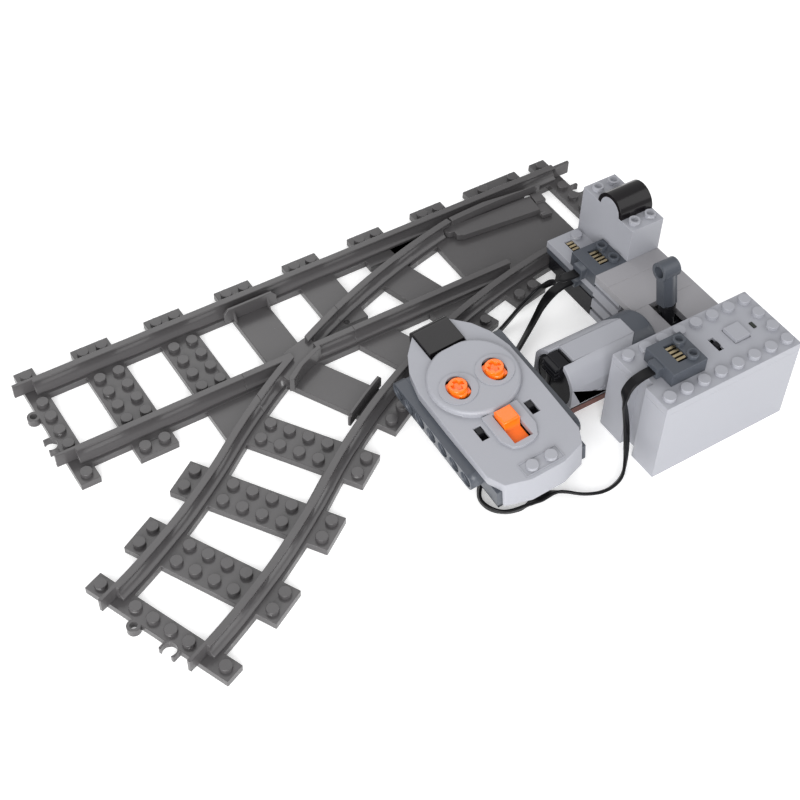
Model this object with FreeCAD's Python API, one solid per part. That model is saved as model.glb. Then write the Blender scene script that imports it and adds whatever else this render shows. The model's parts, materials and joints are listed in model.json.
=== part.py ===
import FreeCAD, Part
import math
import os

# Motorised model turnout on an 8 mm stud grid, in millimetres.
# Origin: on the ground, at the middle of the straight leg's heel end.
# +X runs from the heel to the toe, +Y to the far stock rail, +Z is up.

V = FreeCAD.Vector

# grid of the building system
PITCH = 8.0
PLATE = 3.2
BRICK = 9.6
STUD_R = 2.4
STUD_H = 1.8
STUD_BORE_R = 1.55
SOCKET_CLEAR = 0.05
PIN_R = 2.45
WALL = 1.5

# track plan
LENGTH = 256.0
TOE_AT = 256.0
HEEL_AT = TOE_AT - LENGTH
HALF_GAUGE = 20.0
CURVE_R = 320.0
TURN_DEG = 36.87
EXIT_DEG = 22.5
STRIP_W = 8.0
BED_H = 3.2
SLEEPER_W = 16.0
SLEEPER_L = 64.0
SLEEPER_STEP = 32.0
UNDER_DEPTH = 2.0
UNDER_RIM = 1.5

# rail section
RAIL_H = 9.6
HEAD_W = 2.8
HEAD_DEPTH = 0.8
WEB_W = 1.9
FOOT_W = 6.0
TAB_W = 1.4
TAB_REACH = 4.0
RAIL_SET_BACK = 4.0
FLANGEWAY = 3.1
FLOOR_Z = 7.6

# moving tongue
HEEL_X = 192.0
TIP_X = 241.0
OPEN_DEG = 6.4
BLADE_W = 2.6
BLADE_Z = 3.5
ARM_TOP = 6.4
HEEL_PIN_R = 2.0
TIP_PIN_R = 1.5
TIP_PIN_REACH = 43.5
FIT = 0.06
GAP = 0.3

# point drive
DRIVE_Y = -88.0
AXLE_Z = 15.2
LEVER_X = 228.0
THROW_DEG = 27.0
AXLE_R = 2.4
AXLE_X0 = 207.8
AXLE_X1 = 246.5
ROOF_Z = 22.4
BAR_W = 6.0
BAR_T = 1.5
BAR_LIFT = 0.3
LEVER_REACH = 26.6
LEVER_TUBE_R = 3.9
CRANK_PIN_R = 1.25

# motor
MOTOR_X0 = 172.0
MOTOR_X1 = 215.7
MOTOR_R = 12.8
MOTOR_HALF_W = 12.0
MOTOR_WALL = 1.4
MOTOR_FLOOR = 6.4
GLAND_X0 = 168.9
ARMATURE_LIFT = 3.5

# receiver
RX_X0 = 216.0
RX_X1 = 248.0
RX_Y0 = -56.0
RX_Y1 = -24.0
RX_Z = 9.6
TOWER_X = 232.0
TOWER_TOP = 38.4
DOME_R = 7.6
DOME_T = 1.8
DOME_Y = -41.0

# battery box
BOX_X0 = 184.0
BOX_X1 = 248.0
BOX_Y0 = -137.0
BOX_Y1 = -105.0
BOX_H = 38.4
LID_T = 3.6
CELL_R = 5.1
CELL_L = 44.5
BUTTON_TRAVEL = 1.0

# plugs and leads
PLUG_W = 16.0
PLUG_H = 6.4
LEAD_D = 2.2

# remote control, described in its own frame and laid down at the end
REMOTE_AT = V(142.73, -62.02, 15.51)
REMOTE_ROLL = -6.86
REMOTE_YAW = -1.87
REMOTE_HALF = 24.0
BEAM_W = 5.0
BEAM_HALF_H = 4.0
HOLES = 7
SHELL_TOP = 8.5
DIAL_R = 18.0
DIAL_TOP = 11.2
DIAL_Y = -16.5
REMOTE_FLOOR = -11.2
BASE_HALF = 17.0
ROCK_DEG = 12.0
CHANNEL_TRAVEL = 7.0
SWITCH_TRAVEL = 3.0

CROSS_X = TOE_AT - 2 * math.sqrt(CURVE_R * HALF_GAUGE)
INFLECT_X = TOE_AT - CURVE_R * math.sin(math.radians(TURN_DEG))
CENTRE_1 = V(TOE_AT, -CURVE_R, 0)
CENTRE_2 = V(
    TOE_AT - 2 * CURVE_R * math.sin(math.radians(TURN_DEG)),
    -CURVE_R + 2 * CURVE_R * math.cos(math.radians(TURN_DEG)),
    0,
)


def box(x0, x1, y0, y1, z0, z1):
    return Part.makeBox(x1 - x0, y1 - y0, z1 - z0, V(x0, y0, z0))


def rod(r, x, y, z, length, axis="z"):
    way = {"x": V(1, 0, 0), "y": V(0, 1, 0), "z": V(0, 0, 1)}[axis]
    return Part.makeCylinder(r, length, V(x, y, z), way)


def face_of(points):
    return Part.Face(Part.makePolygon(points + [points[0]]))


def prism(outline, z0, z1):
    return face_of([V(x, y, z0) for x, y in outline]).extrude(V(0, 0, z1 - z0))


def side_prism(outline, x0, x1):
    return face_of([V(x0, y, z) for y, z in outline]).extrude(V(x1 - x0, 0, 0))


def join(shapes):
    whole = shapes[0].multiFuse(shapes[1:])
    return whole.removeSplitter()


def less(shape, *tools):
    for tool in tools:
        shape = shape.cut(tool)
    return shape


def turned(shape, centre, axis, degrees):
    shape = shape.copy()
    shape.rotate(centre, axis, degrees)
    return shape


def moved(shape, x, y, z):
    shape = shape.copy()
    shape.translate(V(x, y, z))
    return shape


def studs(places, z, bore=0.0):
    out = []
    for x, y in places:
        stud = rod(STUD_R, x, y, z, STUD_H)
        if bore:
            stud = stud.cut(rod(bore, x, y, z + 0.3, STUD_H))
        out.append(stud)
    return out


def save(name, shape):
    """Writes a piece. Pieces are drawn from the toe end, and x = 0 is the heel end."""
    if HEEL_AT:
        shape = shape.translated(V(-HEEL_AT, 0, 0))
    shape.exportStep("parts/" + name + ".step")


# ---------------------------------------------------------------- track plan

def polar(centre, r, degrees):
    a = math.radians(degrees)
    return V(centre.x + r * math.cos(a), centre.y + r * math.sin(a), 0)


def sector(centre, r0, r1, a0, a1, z0, z1):
    mid = (a0 + a1) / 2
    outer = Part.Arc(polar(centre, r1, a0), polar(centre, r1, mid), polar(centre, r1, a1))
    inner = Part.Arc(polar(centre, r0, a1), polar(centre, r0, mid), polar(centre, r0, a0))
    out_e = outer.toShape()
    in_e = inner.toShape()
    end_0 = Part.makeLine(polar(centre, r1, a1), polar(centre, r0, a1))
    end_1 = Part.makeLine(polar(centre, r0, a0), polar(centre, r1, a0))
    face = Part.Face(Part.Wire([out_e, end_0, in_e, end_1]))
    face.translate(V(0, 0, z0))
    return face.extrude(V(0, 0, z1 - z0))


def curve_1(off, h0, h1, half_w, z0, z1):
    """Band along the first curve, at an offset from its centre line."""
    r = CURVE_R + off
    return sector(CENTRE_1, r - half_w, r + half_w, 90 + h0, 90 + h1, z0, z1)


def curve_2(off, h0, h1, half_w, z0, z1):
    """Band along the second curve, on the same side of the track."""
    r = CURVE_R - off
    return sector(CENTRE_2, r - half_w, r + half_w, -90 + h0, -90 + h1, z0, z1)


def on_branch(heading, second):
    a = math.radians(heading)
    if second:
        return V(CENTRE_2.x + CURVE_R * math.sin(a), CENTRE_2.y - CURVE_R * math.cos(a), 0)
    return V(CENTRE_1.x - CURVE_R * math.sin(a), CENTRE_1.y + CURVE_R * math.cos(a), 0)


def along_branch(distance):
    """Centre point and heading at a distance from the branch end."""
    heading = EXIT_DEG + math.degrees(distance / CURVE_R)
    if heading <= TURN_DEG:
        return on_branch(heading, True), heading
    heading = 2 * TURN_DEG - heading
    return on_branch(heading, False), heading


def rail_section():
    half_h = HEAD_W / 2
    half_w = WEB_W / 2
    half_f = FOOT_W / 2
    right = [
        (half_h, RAIL_H),
        (half_h, RAIL_H - HEAD_DEPTH),
        (half_w, RAIL_H - 2 * HEAD_DEPTH),
        (half_w + 0.15, RAIL_H / 3 * 2),
        (half_f * 0.6, BED_H + 1.8),
        (half_f, BED_H + 1.1),
        (half_f, BED_H),
    ]
    left = [(-w, z) for w, z in reversed(right)]
    return right + left


def rail_straight(y, x0, x1):
    pts = [V(x0, y + w, z) for w, z in rail_section()]
    return face_of(pts).extrude(V(x1 - x0, 0, 0))


def rail_curved(centre, r, a0, a1):
    pts = [V(centre.x + r + w, centre.y, z) for w, z in rail_section()]
    face = face_of(pts)
    face.rotate(centre, V(0, 0, 1), a0)
    return face.revolve(centre, V(0, 0, 1), a1 - a0)


def step_deg(length):
    return math.degrees(length / CURVE_R)


# ---------------------------------------------------------------- track bed

def sleeper(at, heading, y0, y1, stud_rows, half=False):
    """Sleeper plate centred at a point, with studs at local (x, y) places."""
    x0 = 0.0 if half else -SLEEPER_W / 2
    x1 = PITCH if half else SLEEPER_W / 2
    body = box(x0, x1, y0, y1, 0, BED_H)
    shapes = [body] + studs(stud_rows, BED_H)
    plate = join(shapes)
    plate.rotate(V(0, 0, 0), V(0, 0, 1), heading)
    plate.translate(at)
    return plate


def pair(xs, ys):
    return [(x, y) for x in xs for y in ys]


def coupling(at, heading):
    """Ring on one side and claw on the other, on the outer edge of an end sleeper."""
    ring = rod(2.6, -1.6, PITCH, 0, BED_H)
    ring = ring.fuse(box(-1.6, 0.5, PITCH - 1.6, PITCH + 1.6, 0, BED_H))
    claw = box(-3.4, 0.5, -PITCH - 3.4, -PITCH + 3.4, 0, BED_H)
    claw = claw.cut(rod(2.75, -1.6, -PITCH, -1, BED_H + 2))
    add = ring.fuse(claw)
    hole = rod(1.4, -1.6, PITCH, -1, BED_H + 2)
    bite = rod(2.75, -1.6, -PITCH, -1, BED_H + 2)
    for s in (add, hole, bite):
        s.rotate(V(0, 0, 0), V(0, 0, 1), heading)
        s.translate(at)
    return add, hole, bite


def under_pockets(at, heading, y0, y1, half=False):
    x0 = UNDER_RIM if half else -SLEEPER_W / 2 + UNDER_RIM
    x1 = PITCH - UNDER_RIM if half else SLEEPER_W / 2 - UNDER_RIM
    hole = box(x0, x1, y0 + UNDER_RIM, y1 - UNDER_RIM, -1, UNDER_DEPTH)
    hole.rotate(V(0, 0, 0), V(0, 0, 1), heading)
    hole.translate(at)
    return hole


INNER = pair((-4, 4), (-12, -4, 4, 12))
OUTER = pair((-4, 4), (-28, 28))
HALF_IN = pair((4,), (-12, -4, 4, 12))
HALF_OUT = pair((4,), (-28, 28))
HALF_L = SLEEPER_L / 2
EDGE_Y = HALF_GAUGE - STRIP_W / 2


def heel_sleepers():
    """Middles of the full sleepers between the heel end and the crossing."""
    found = []
    x = CROSS_X - 2 * SLEEPER_STEP
    while x > HEEL_AT + SLEEPER_W + 4:
        found.append(x)
        x -= SLEEPER_STEP
    return sorted(found)


def full_bed():
    end_point = on_branch(EXIT_DEG, True)
    heel_at = V(HEEL_AT, 0, 0)
    shapes = []
    shapes.append(box(HEEL_AT, TOE_AT, EDGE_Y, EDGE_Y + STRIP_W, 0, BED_H))
    shapes.append(box(HEEL_AT, HEEL_X, -EDGE_Y - STRIP_W, -EDGE_Y, 0, BED_H))
    for off in (-HALF_GAUGE, HALF_GAUGE):
        shapes.append(curve_1(off, 0, TURN_DEG, STRIP_W / 2, 0, BED_H))
        shapes.append(curve_2(off, EXIT_DEG, TURN_DEG, STRIP_W / 2, 0, BED_H))
    # heel end of the straight leg
    shapes.append(sleeper(heel_at, 0, -HALF_L, HALF_L, HALF_IN + HALF_OUT, True))
    full = heel_sleepers()
    half = CROSS_X - SLEEPER_STEP
    for x in full:
        shapes.append(sleeper(V(x, 0, 0), 0, -HALF_L, HALF_L, INNER + OUTER))
    shapes.append(sleeper(V(half, 0, 0), 0, -EDGE_Y - STRIP_W, HALF_L, INNER + pair((-4, 4), (28,))))
    shapes.append(sleeper(V(CROSS_X, 0, 0), 0, -HALF_GAUGE, HALF_L, pair((-4, 4), (28,))))
    shapes.append(sleeper(V(CROSS_X + SLEEPER_STEP, 0, 0), 0, -12, HALF_L, pair((-4, 4), (28,))))
    x = CROSS_X + 2 * SLEEPER_STEP
    while x < TOE_AT - 1.5 * SLEEPER_STEP:
        shapes.append(sleeper(V(x, 0, 0), 0, HALF_GAUGE - 8, HALF_L, pair((-4, 4), (28,))))
        x += SLEEPER_STEP
    # triangular web between the legs
    v_x = CENTRE_1.x - math.sqrt((CURVE_R + HALF_GAUGE + 4) ** 2 - (CURVE_R - 24) ** 2)
    shapes.append(prism([(56, -22), (v_x + 4, -22), (v_x - 4, -29), (56, -42)], 0, BED_H))
    # toe plate under the tongue
    shapes.append(box(183, 240, -21, 18, 0, BED_H))
    shapes.append(box(212, 240, HALF_GAUGE, HALF_L, 0, BED_H))
    shapes.extend(studs([(220, 28), (236, 28)], BED_H))
    shapes.append(box(TOE_AT - PITCH, TOE_AT, -HALF_L, HALF_L, 0, BED_H))
    toe_studs = pair((TOE_AT - 4,), (-28, -12, -4, 4, 12, 28))
    shapes.extend(studs([p for p in toe_studs if p[1] > -28], BED_H))
    # branch sleepers
    for k, distance in enumerate((0, 32, 64, 96)):
        at, heading = along_branch(distance)
        if k == 0:
            shapes.append(sleeper(at, heading, -HALF_L, HALF_L, HALF_IN + HALF_OUT, True))
        elif k < 3:
            shapes.append(sleeper(at, heading, -HALF_L, HALF_L, INNER + OUTER))
        else:
            low = pair((-4, 4), (-28,))
            shapes.append(sleeper(at, heading, -HALF_L, HALF_GAUGE, INNER + low))
    # sleepers under both legs, square to the curve
    for distance in (128, 160, 192, 224):
        at, heading = along_branch(distance)
        top = HALF_GAUGE if distance == 192 else 16
        plate = sleeper(at, heading, -HALF_L, top, pair((-4, 4), (-28,)))
        if distance != 192:
            plate = plate.cut(box(HEEL_AT, TOE_AT, -EDGE_Y - 1, 80, -1, 20))
        shapes.append(plate)
    bed = join(shapes)
    # couplings at the three ends
    ends = [(heel_at, 0), (V(TOE_AT, 0, 0), 180), (end_point, EXIT_DEG)]
    for at, heading in ends:
        add, hole, bite = coupling(at, heading)
        bed = bed.fuse(add).cut(hole).cut(bite)
    # stud sockets under the plates
    for x in full:
        bed = bed.cut(under_pockets(V(x, 0, 0), 0, -HALF_L, HALF_L))
    bed = bed.cut(under_pockets(V(half, 0, 0), 0, -EDGE_Y - STRIP_W, HALF_L))
    bed = bed.cut(under_pockets(V(CROSS_X, 0, 0), 0, -EDGE_Y, HALF_L))
    for distance in (32, 64):
        at, heading = along_branch(distance)
        bed = bed.cut(under_pockets(at, heading, -HALF_L, HALF_L))
    # small peg hole in the web between the closure rails
    bed = bed.cut(rod(1.3, CROSS_X + 30.5, -10.5, -1, 10))
    return bed.removeSplitter()


BAR_X0 = 232.0
BAR_X1 = BAR_X0 + BAR_W
BAR_TOP = BAR_LIFT + BAR_T
CHANNEL_SIDE = 0.5
CHANNEL_TOP = BAR_TOP + GAP
BAR_FAR = 15.0


def bar_channel(y0, y1, top=None):
    return box(BAR_X0 - CHANNEL_SIDE, BAR_X1 + CHANNEL_SIDE, y0, y1, -1, top or CHANNEL_TOP)


TOE_X = 183.0
SPLIT_Y = -EDGE_Y - STRIP_W
HEEL_Y = CENTRE_1.y + math.sqrt((CURVE_R + HALF_GAUGE) ** 2 - (TOE_AT - HEEL_X) ** 2)
HEEL = V(HEEL_X, HEEL_Y - 1.5, 0)
SWEEP = TIP_PIN_REACH * math.radians(OPEN_DEG)
CRANK_R = SWEEP / (2 * math.sin(math.radians(THROW_DEG / 2)))


def tip_pin_at(closed):
    """Centre of the tongue's drive pin, open or closed."""
    a = math.radians(0 if closed else -OPEN_DEG)
    rx, ry = TIP_PIN_REACH, 1.8
    return V(HEEL.x + rx * math.cos(a) - ry * math.sin(a), HEEL.y + rx * math.sin(a) + ry * math.cos(a), 0)


def bed_nodes():
    bed = full_bed()
    toe = bed.common(box(TOE_X, 300, -200, 100, -1, 20))
    far = HEEL_AT - 50
    main = bed.common(box(far, TOE_X, -40, 100, -1, 20))
    side = [(far, -200), (TOE_X, -200), (TOE_X, SPLIT_Y), (CROSS_X - 46, SPLIT_Y), (CROSS_X - 54, -36), (far, -36)]
    branch = bed.common(prism(side, -1, 20))
    main = main.cut(branch)
    toe = toe.cut(bar_channel(-60, BAR_FAR + SWEEP + 0.6))
    p0 = tip_pin_at(False)
    slot_r = TIP_PIN_R + GAP + 0.3
    slot = box(p0.x - slot_r, p0.x + slot_r, p0.y, p0.y + SWEEP, -1, BED_H + 1)
    slot = slot.fuse(rod(slot_r, p0.x, p0.y, -1, BED_H + 2))
    slot = slot.fuse(rod(slot_r, p0.x, p0.y + SWEEP, -1, BED_H + 2))
    toe = toe.cut(slot).cut(rod(HEEL_PIN_R + FIT, HEEL.x, HEEL.y, -1, 10))
    save("track_bed_main", main)
    save("track_bed_branch", branch)
    save("track_bed_toe", toe)


# ---------------------------------------------------------------- rails

A_OUT = CURVE_R + HALF_GAUGE
A_IN = CURVE_R - HALF_GAUGE
NOSE_X = CROSS_X - 9.0
FROG_X1 = CROSS_X + 28.0


def angle_at(r, x):
    """Standard angle about the first centre where radius r meets x."""
    return 90 + math.degrees(math.asin((TOE_AT - x) / r))


def branch_tab(off):
    r = CURVE_R - off
    a = -90 + EXIT_DEG
    d0 = step_deg(RAIL_SET_BACK)
    d1 = step_deg(TAB_REACH)
    return sector(CENTRE_2, r - TAB_W, r, a - d1, a + d0, BED_H + 0.2, RAIL_H)


def from_crossing(points):
    """Points given from the middle of the crossing along x."""
    return [(CROSS_X + x, y) for x, y in points]


def rail_nodes():
    heel0 = HEEL_AT + RAIL_SET_BACK
    toe0 = TOE_AT - RAIL_SET_BACK
    z0 = BED_H + 0.2
    far = rail_straight(HALF_GAUGE, heel0, toe0)
    far_a = box(HEEL_AT - TAB_REACH, heel0, HALF_GAUGE, HALF_GAUGE + TAB_W, z0, RAIL_H)
    far_b = box(toe0, TOE_AT + TAB_REACH, HALF_GAUGE - TAB_W, HALF_GAUGE, z0, RAIL_H)
    far = join([far, far_a, far_b])
    save("stock_rail_far", far)

    end_a = -90 + EXIT_DEG + step_deg(RAIL_SET_BACK)
    start = 90 + step_deg(RAIL_SET_BACK)
    near_1 = rail_curved(CENTRE_1, A_IN, start, 90 + TURN_DEG)
    near_2 = rail_curved(CENTRE_2, A_OUT, end_a, -90 + TURN_DEG)
    near_t = box(toe0, TOE_AT + TAB_REACH, -HALF_GAUGE - TAB_W, -HALF_GAUGE, z0, RAIL_H)
    near = join([near_1, near_2, near_t, branch_tab(-HALF_GAUGE)])
    save("stock_rail_near", near)

    # crossing: each rail is cut by the other's flangeway above a raised floor
    leg = rail_straight(-HALF_GAUGE, heel0, HEEL_X + 8.0)
    diverge_1 = rail_curved(CENTRE_1, A_OUT, angle_at(A_OUT, HEEL_X + 0.4), 90 + TURN_DEG)
    diverge_2 = rail_curved(CENTRE_2, A_IN, end_a, -90 + TURN_DEG)
    head = HEAD_W / 2
    way_curve = sector(CENTRE_1, A_OUT - head - FLANGEWAY, A_OUT - head - 0.05, 112, 122, FLOOR_Z, 12)
    way_leg = box(CROSS_X - 16, CROSS_X + 34, -HALF_GAUGE + head + 0.05, -HALF_GAUGE + head + FLANGEWAY, FLOOR_Z, 12)
    zone = box(NOSE_X - 13, FROG_X1, -60, 0, -1, 20)
    floor = prism(from_crossing([(-10, -20), (0, -15.2), (11, -12.5), (12, -21), (1, -24), (-7, -30.5)]), BED_H, FLOOR_Z)
    wing = prism(
        from_crossing([(8, -21.7), (11.6, -20.9), (11.6, -22.6), (1, -27), (-5.8, -31.9), (-7.8, -31.6), (-7.1, -29.8), (0, -25.2)]),
        BED_H,
        RAIL_H,
    )
    leg_left = leg.common(box(HEEL_AT, NOSE_X + 9, -40, 0, -1, 20))
    leg_right = leg.common(box(CROSS_X + 10, HEEL_X + 9, -40, 0, -1, 20))
    div_left = diverge_1.common(box(HEEL_AT, NOSE_X + 9, -90, 0, -1, 20))
    div_right = diverge_1.common(box(CROSS_X + 9, HEEL_X + 8, -90, 40, -1, 20))
    crossing = [leg_left.common(zone), div_left.common(zone), floor]
    frog = join(crossing)
    frog = frog.cut(way_curve).cut(way_leg)
    frog = frog.fuse(wing).fuse(leg_right.common(zone)).fuse(div_right.common(zone))
    frog = frog.common(zone).removeSplitter()
    save("crossing_frog", frog)
    save("heel_rail_straight", join([
        less(leg_left, zone),
        box(HEEL_AT - TAB_REACH, heel0, -HALF_GAUGE, -HALF_GAUGE + TAB_W, z0, RAIL_H),
    ]))
    save("heel_rail_branch", join([less(div_left, zone), diverge_2, branch_tab(HALF_GAUGE)]))
    tip = leg_right.cut(zone).cut(near_1)
    beside = sector(CENTRE_1, A_IN - 4, A_IN + head + 0.3, 90, 110, -1, 20)
    tip = tip.cut(beside)
    save("closure_rail_straight", tip)
    heel_room = box(HEEL_X - 3.4, HEEL_X + 5, -40, 40, -1, ARM_TOP + 0.6)
    far_foot = box(HEEL_X - 40, HEEL_X, HALF_GAUGE - FOOT_W / 2, 60, -1, 20)
    save("closure_rail_curved", less(div_right, zone, heel_room, far_foot))


def check_rail(outline_len, height):
    """Thin guard plate in its own frame: along x, 1.2 mm thick, rounded top corners."""
    c = 2.0
    half = outline_len / 2
    pts = [(-half, BED_H), (-half, height - c), (-half + c, height), (half - c, height), (half, height - c), (half, BED_H)]
    return face_of([V(x, 0, z) for x, z in pts]).extrude(V(0, 1.2, 0))


CHECK_LEN = 24.0


def check_nodes():
    far_y = HALF_GAUGE - HEAD_W / 2 - FLANGEWAY - 1.2
    plate = moved(check_rail(CHECK_LEN, RAIL_H), CROSS_X, far_y, 0)
    ribs = []
    for x in (CROSS_X - SLEEPER_W / 2, CROSS_X + SLEEPER_W / 2 - 0.8):
        rib = face_of([V(x, far_y, BED_H), V(x, far_y, RAIL_H - 0.8), V(x, far_y - 2.6, BED_H)])
        ribs.append(rib.extrude(V(0.8, 0, 0)))
    save("check_rail_far", join([plate] + ribs))
    r = A_IN + HEAD_W / 2 + FLANGEWAY
    a = angle_at(r, CROSS_X + 13.5)
    span = math.degrees(CHECK_LEN / 2 / r)
    guard = sector(CENTRE_1, r, r + 1.2, a - span, a + span, BED_H, RAIL_H)
    for side in (-1, 1):
        tip_at = polar(CENTRE_1, r + 0.6, a + side * span)
        guard = guard.cut(turned(box(-1.2, 1.2, -3, 3, RAIL_H - 1.6, 12), V(0, 0, 0), V(0, 0, 1), a - 90).translated(V(tip_at.x, tip_at.y, 0)))
    save("check_rail_near", guard)


# ---------------------------------------------------------------- tongue and slide bar

def tongue_node():
    outer = CURVE_R + HALF_GAUGE + BLADE_W / 2
    inner = outer - BLADE_W
    a0 = angle_at(outer, TIP_X)
    a1 = angle_at(outer, HEEL_X + 0.8)
    blade = sector(CENTRE_1, inner, outer, a0, a1, BLADE_Z, RAIL_H)
    limit = HALF_GAUGE - HEAD_W / 2 - GAP
    blade = blade.cut(box(180, 260, limit, 40, -1, 20))
    foot_limit = HALF_GAUGE - FOOT_W / 2 - GAP
    blade = blade.cut(box(180, 260, foot_limit, 40, -1, BED_H + 2.2))
    y = HEEL.y
    arm = prism(
        [(HEEL_X + 0.8, y + 0.9), (HEEL_X + 0.8, y - 5.2), (HEEL_X + 3.6, y - 6.6), (233.5, y - 5.6), (233.5, y + 4.0)],
        BLADE_Z,
        ARM_TOP,
    )
    p = tip_pin_at(True)
    block = box(p.x - 1.6, p.x + 3.4, p.y - 2.8, p.y + 2.6, BLADE_Z, ARM_TOP + 0.3)
    tab = box(233, p.x + 2.4, p.y - 10.6, p.y - 2.4, BLADE_Z, ARM_TOP - 1.0)
    pin = rod(TIP_PIN_R, p.x, p.y, BAR_LIFT + 0.2, BLADE_Z)
    hub = rod(HEEL_PIN_R + 0.9, HEEL.x + 0.0, HEEL.y, BLADE_Z, ARM_TOP - BLADE_Z)
    heel_pin = rod(HEEL_PIN_R, HEEL.x, HEEL.y, 0.4, BLADE_Z)
    tongue = join([blade, arm, block, tab, pin, hub, heel_pin])
    tongue = turned(tongue, HEEL, V(0, 0, 1), -OPEN_DEG)
    save("switch_tongue", tongue)


def crank_pin_at():
    a = math.radians(THROW_DEG / 2)
    return V(0, DRIVE_Y - CRANK_R * math.sin(a), AXLE_Z - CRANK_R * math.cos(a))


FORK_X0 = 234.9
FORK_X1 = 237.8


def slide_bar_node():
    near = crank_pin_at().y - CRANK_PIN_R - GAP - 2.6
    bar = box(BAR_X0, BAR_X1, near, BAR_FAR, BAR_LIFT, BAR_TOP)
    p = tip_pin_at(False)
    slot_w = TIP_PIN_R + FIT + 0.04
    window = box(p.x - slot_w - 0.3, p.x + slot_w + 0.4, p.y - slot_w, p.y + slot_w, -1, 5)
    bar = bar.cut(window)
    pin_y = crank_pin_at().y
    inside = CRANK_PIN_R + GAP
    for side in (-1, 1):
        y0 = pin_y + side * inside
        y1 = pin_y + side * (inside + 2.4)
        bar = bar.fuse(box(FORK_X0, FORK_X1, min(y0, y1), max(y0, y1), BAR_LIFT, AXLE_Z - CRANK_R + 2.5))
    save("slide_bar", bar.removeSplitter())


# ---------------------------------------------------------------- point drive

def drive_shaft_nodes():
    axle = rod(AXLE_R, AXLE_X0, DRIVE_Y, AXLE_Z, AXLE_X1 - AXLE_X0, "x")
    for k in range(4):
        a = 45 + 90 * k
        groove = box(206, 247, 1.0, 4, 1.0, 4)
        groove.translate(V(0, DRIVE_Y, AXLE_Z))
        axle = axle.cut(turned(groove, V(0, DRIVE_Y, AXLE_Z), V(1, 0, 0), a - 45))
    save("drive_axle", axle)
    centre = V(LEVER_X, DRIVE_Y, AXLE_Z)
    tilt = -THROW_DEG / 2
    x0 = LEVER_X - PITCH / 2
    top = AXLE_Z + LEVER_REACH
    tube = rod(LEVER_TUBE_R, x0, DRIVE_Y, top, PITCH, "x")
    neck = box(x0 + 0.6, x0 + PITCH - 0.6, DRIVE_Y - 2.3, DRIVE_Y + 2.3, AXLE_Z + 10.8, top)
    round_neck = rod(3.3, LEVER_X, DRIVE_Y, AXLE_Z + 10.8, LEVER_REACH - 10.8)
    lever = join([tube, neck, round_neck])
    lever = lever.cut(rod(PIN_R, x0 - 1, DRIVE_Y, top, PITCH + 2, "x"))
    stem = rod(2.0, LEVER_X, DRIVE_Y, AXLE_Z + AXLE_R, 18 - AXLE_R)
    lever = lever.cut(rod(2.05, LEVER_X, DRIVE_Y, AXLE_Z + 9, 9.1))
    save("hand_lever", turned(lever, centre, V(1, 0, 0), tilt))
    hub = rod(4.0, LEVER_X - 3.7, DRIVE_Y, AXLE_Z, 7.4, "x")
    post = rod(3.2, LEVER_X, DRIVE_Y, AXLE_Z + 1, 7.6)
    collar = rod(3.6, LEVER_X, DRIVE_Y, AXLE_Z + 8.6, 2.1)
    socket = join([hub, post, collar, stem])
    socket = socket.cut(rod(AXLE_R + 0.001, LEVER_X - 5, DRIVE_Y, AXLE_Z, 10, "x"))
    save("lever_socket", turned(socket, centre, V(1, 0, 0), tilt))
    arm_x = 232.9
    pin = crank_pin_at()
    hub = rod(3.6, arm_x, DRIVE_Y, AXLE_Z, 6.2, "x")
    arm = box(arm_x, arm_x + 1.6, DRIVE_Y - 1.8, DRIVE_Y + 1.8, AXLE_Z - CRANK_R, AXLE_Z)
    eye = rod(1.8, arm_x, DRIVE_Y, AXLE_Z - CRANK_R, 1.6, "x")
    peg = rod(CRANK_PIN_R, arm_x, DRIVE_Y, AXLE_Z - CRANK_R, FORK_X1 - arm_x, "x")
    crank = join([hub, arm, eye, peg])
    crank = crank.cut(rod(AXLE_R + 0.001, arm_x - 1, DRIVE_Y, AXLE_Z, 9, "x"))
    save("crank_arm", turned(crank, V(0, DRIVE_Y, AXLE_Z), V(1, 0, 0), tilt))
    cup = rod(7.1, 204.5, DRIVE_Y, AXLE_Z, 4.6, "x")
    cup = cup.cut(gear_prism(22, 5.75, 6.3, 204, 207.6, DRIVE_Y, AXLE_Z))
    sleeve = rod(3.7, 209.1, DRIVE_Y, AXLE_Z, 6.8, "x")
    gear = join([cup, sleeve]).cut(rod(AXLE_R + 0.001, 206, DRIVE_Y, AXLE_Z, 12, "x"))
    save("output_gear", gear)


def gear_prism(teeth, r0, r1, x0, x1, y, z):
    pts = []
    for k in range(teeth):
        a = 2 * math.pi * k / teeth
        for frac, r in ((0.0, r0), (0.3, r0), (0.45, r1), (0.85, r1)):
            b = a + frac * 2 * math.pi / teeth
            pts.append((y + r * math.cos(b), z + r * math.sin(b)))
    return side_prism(pts, x0, x1)


DRIVE_Y0 = DRIVE_Y - PITCH
DRIVE_Y1 = DRIVE_Y + PITCH


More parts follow.
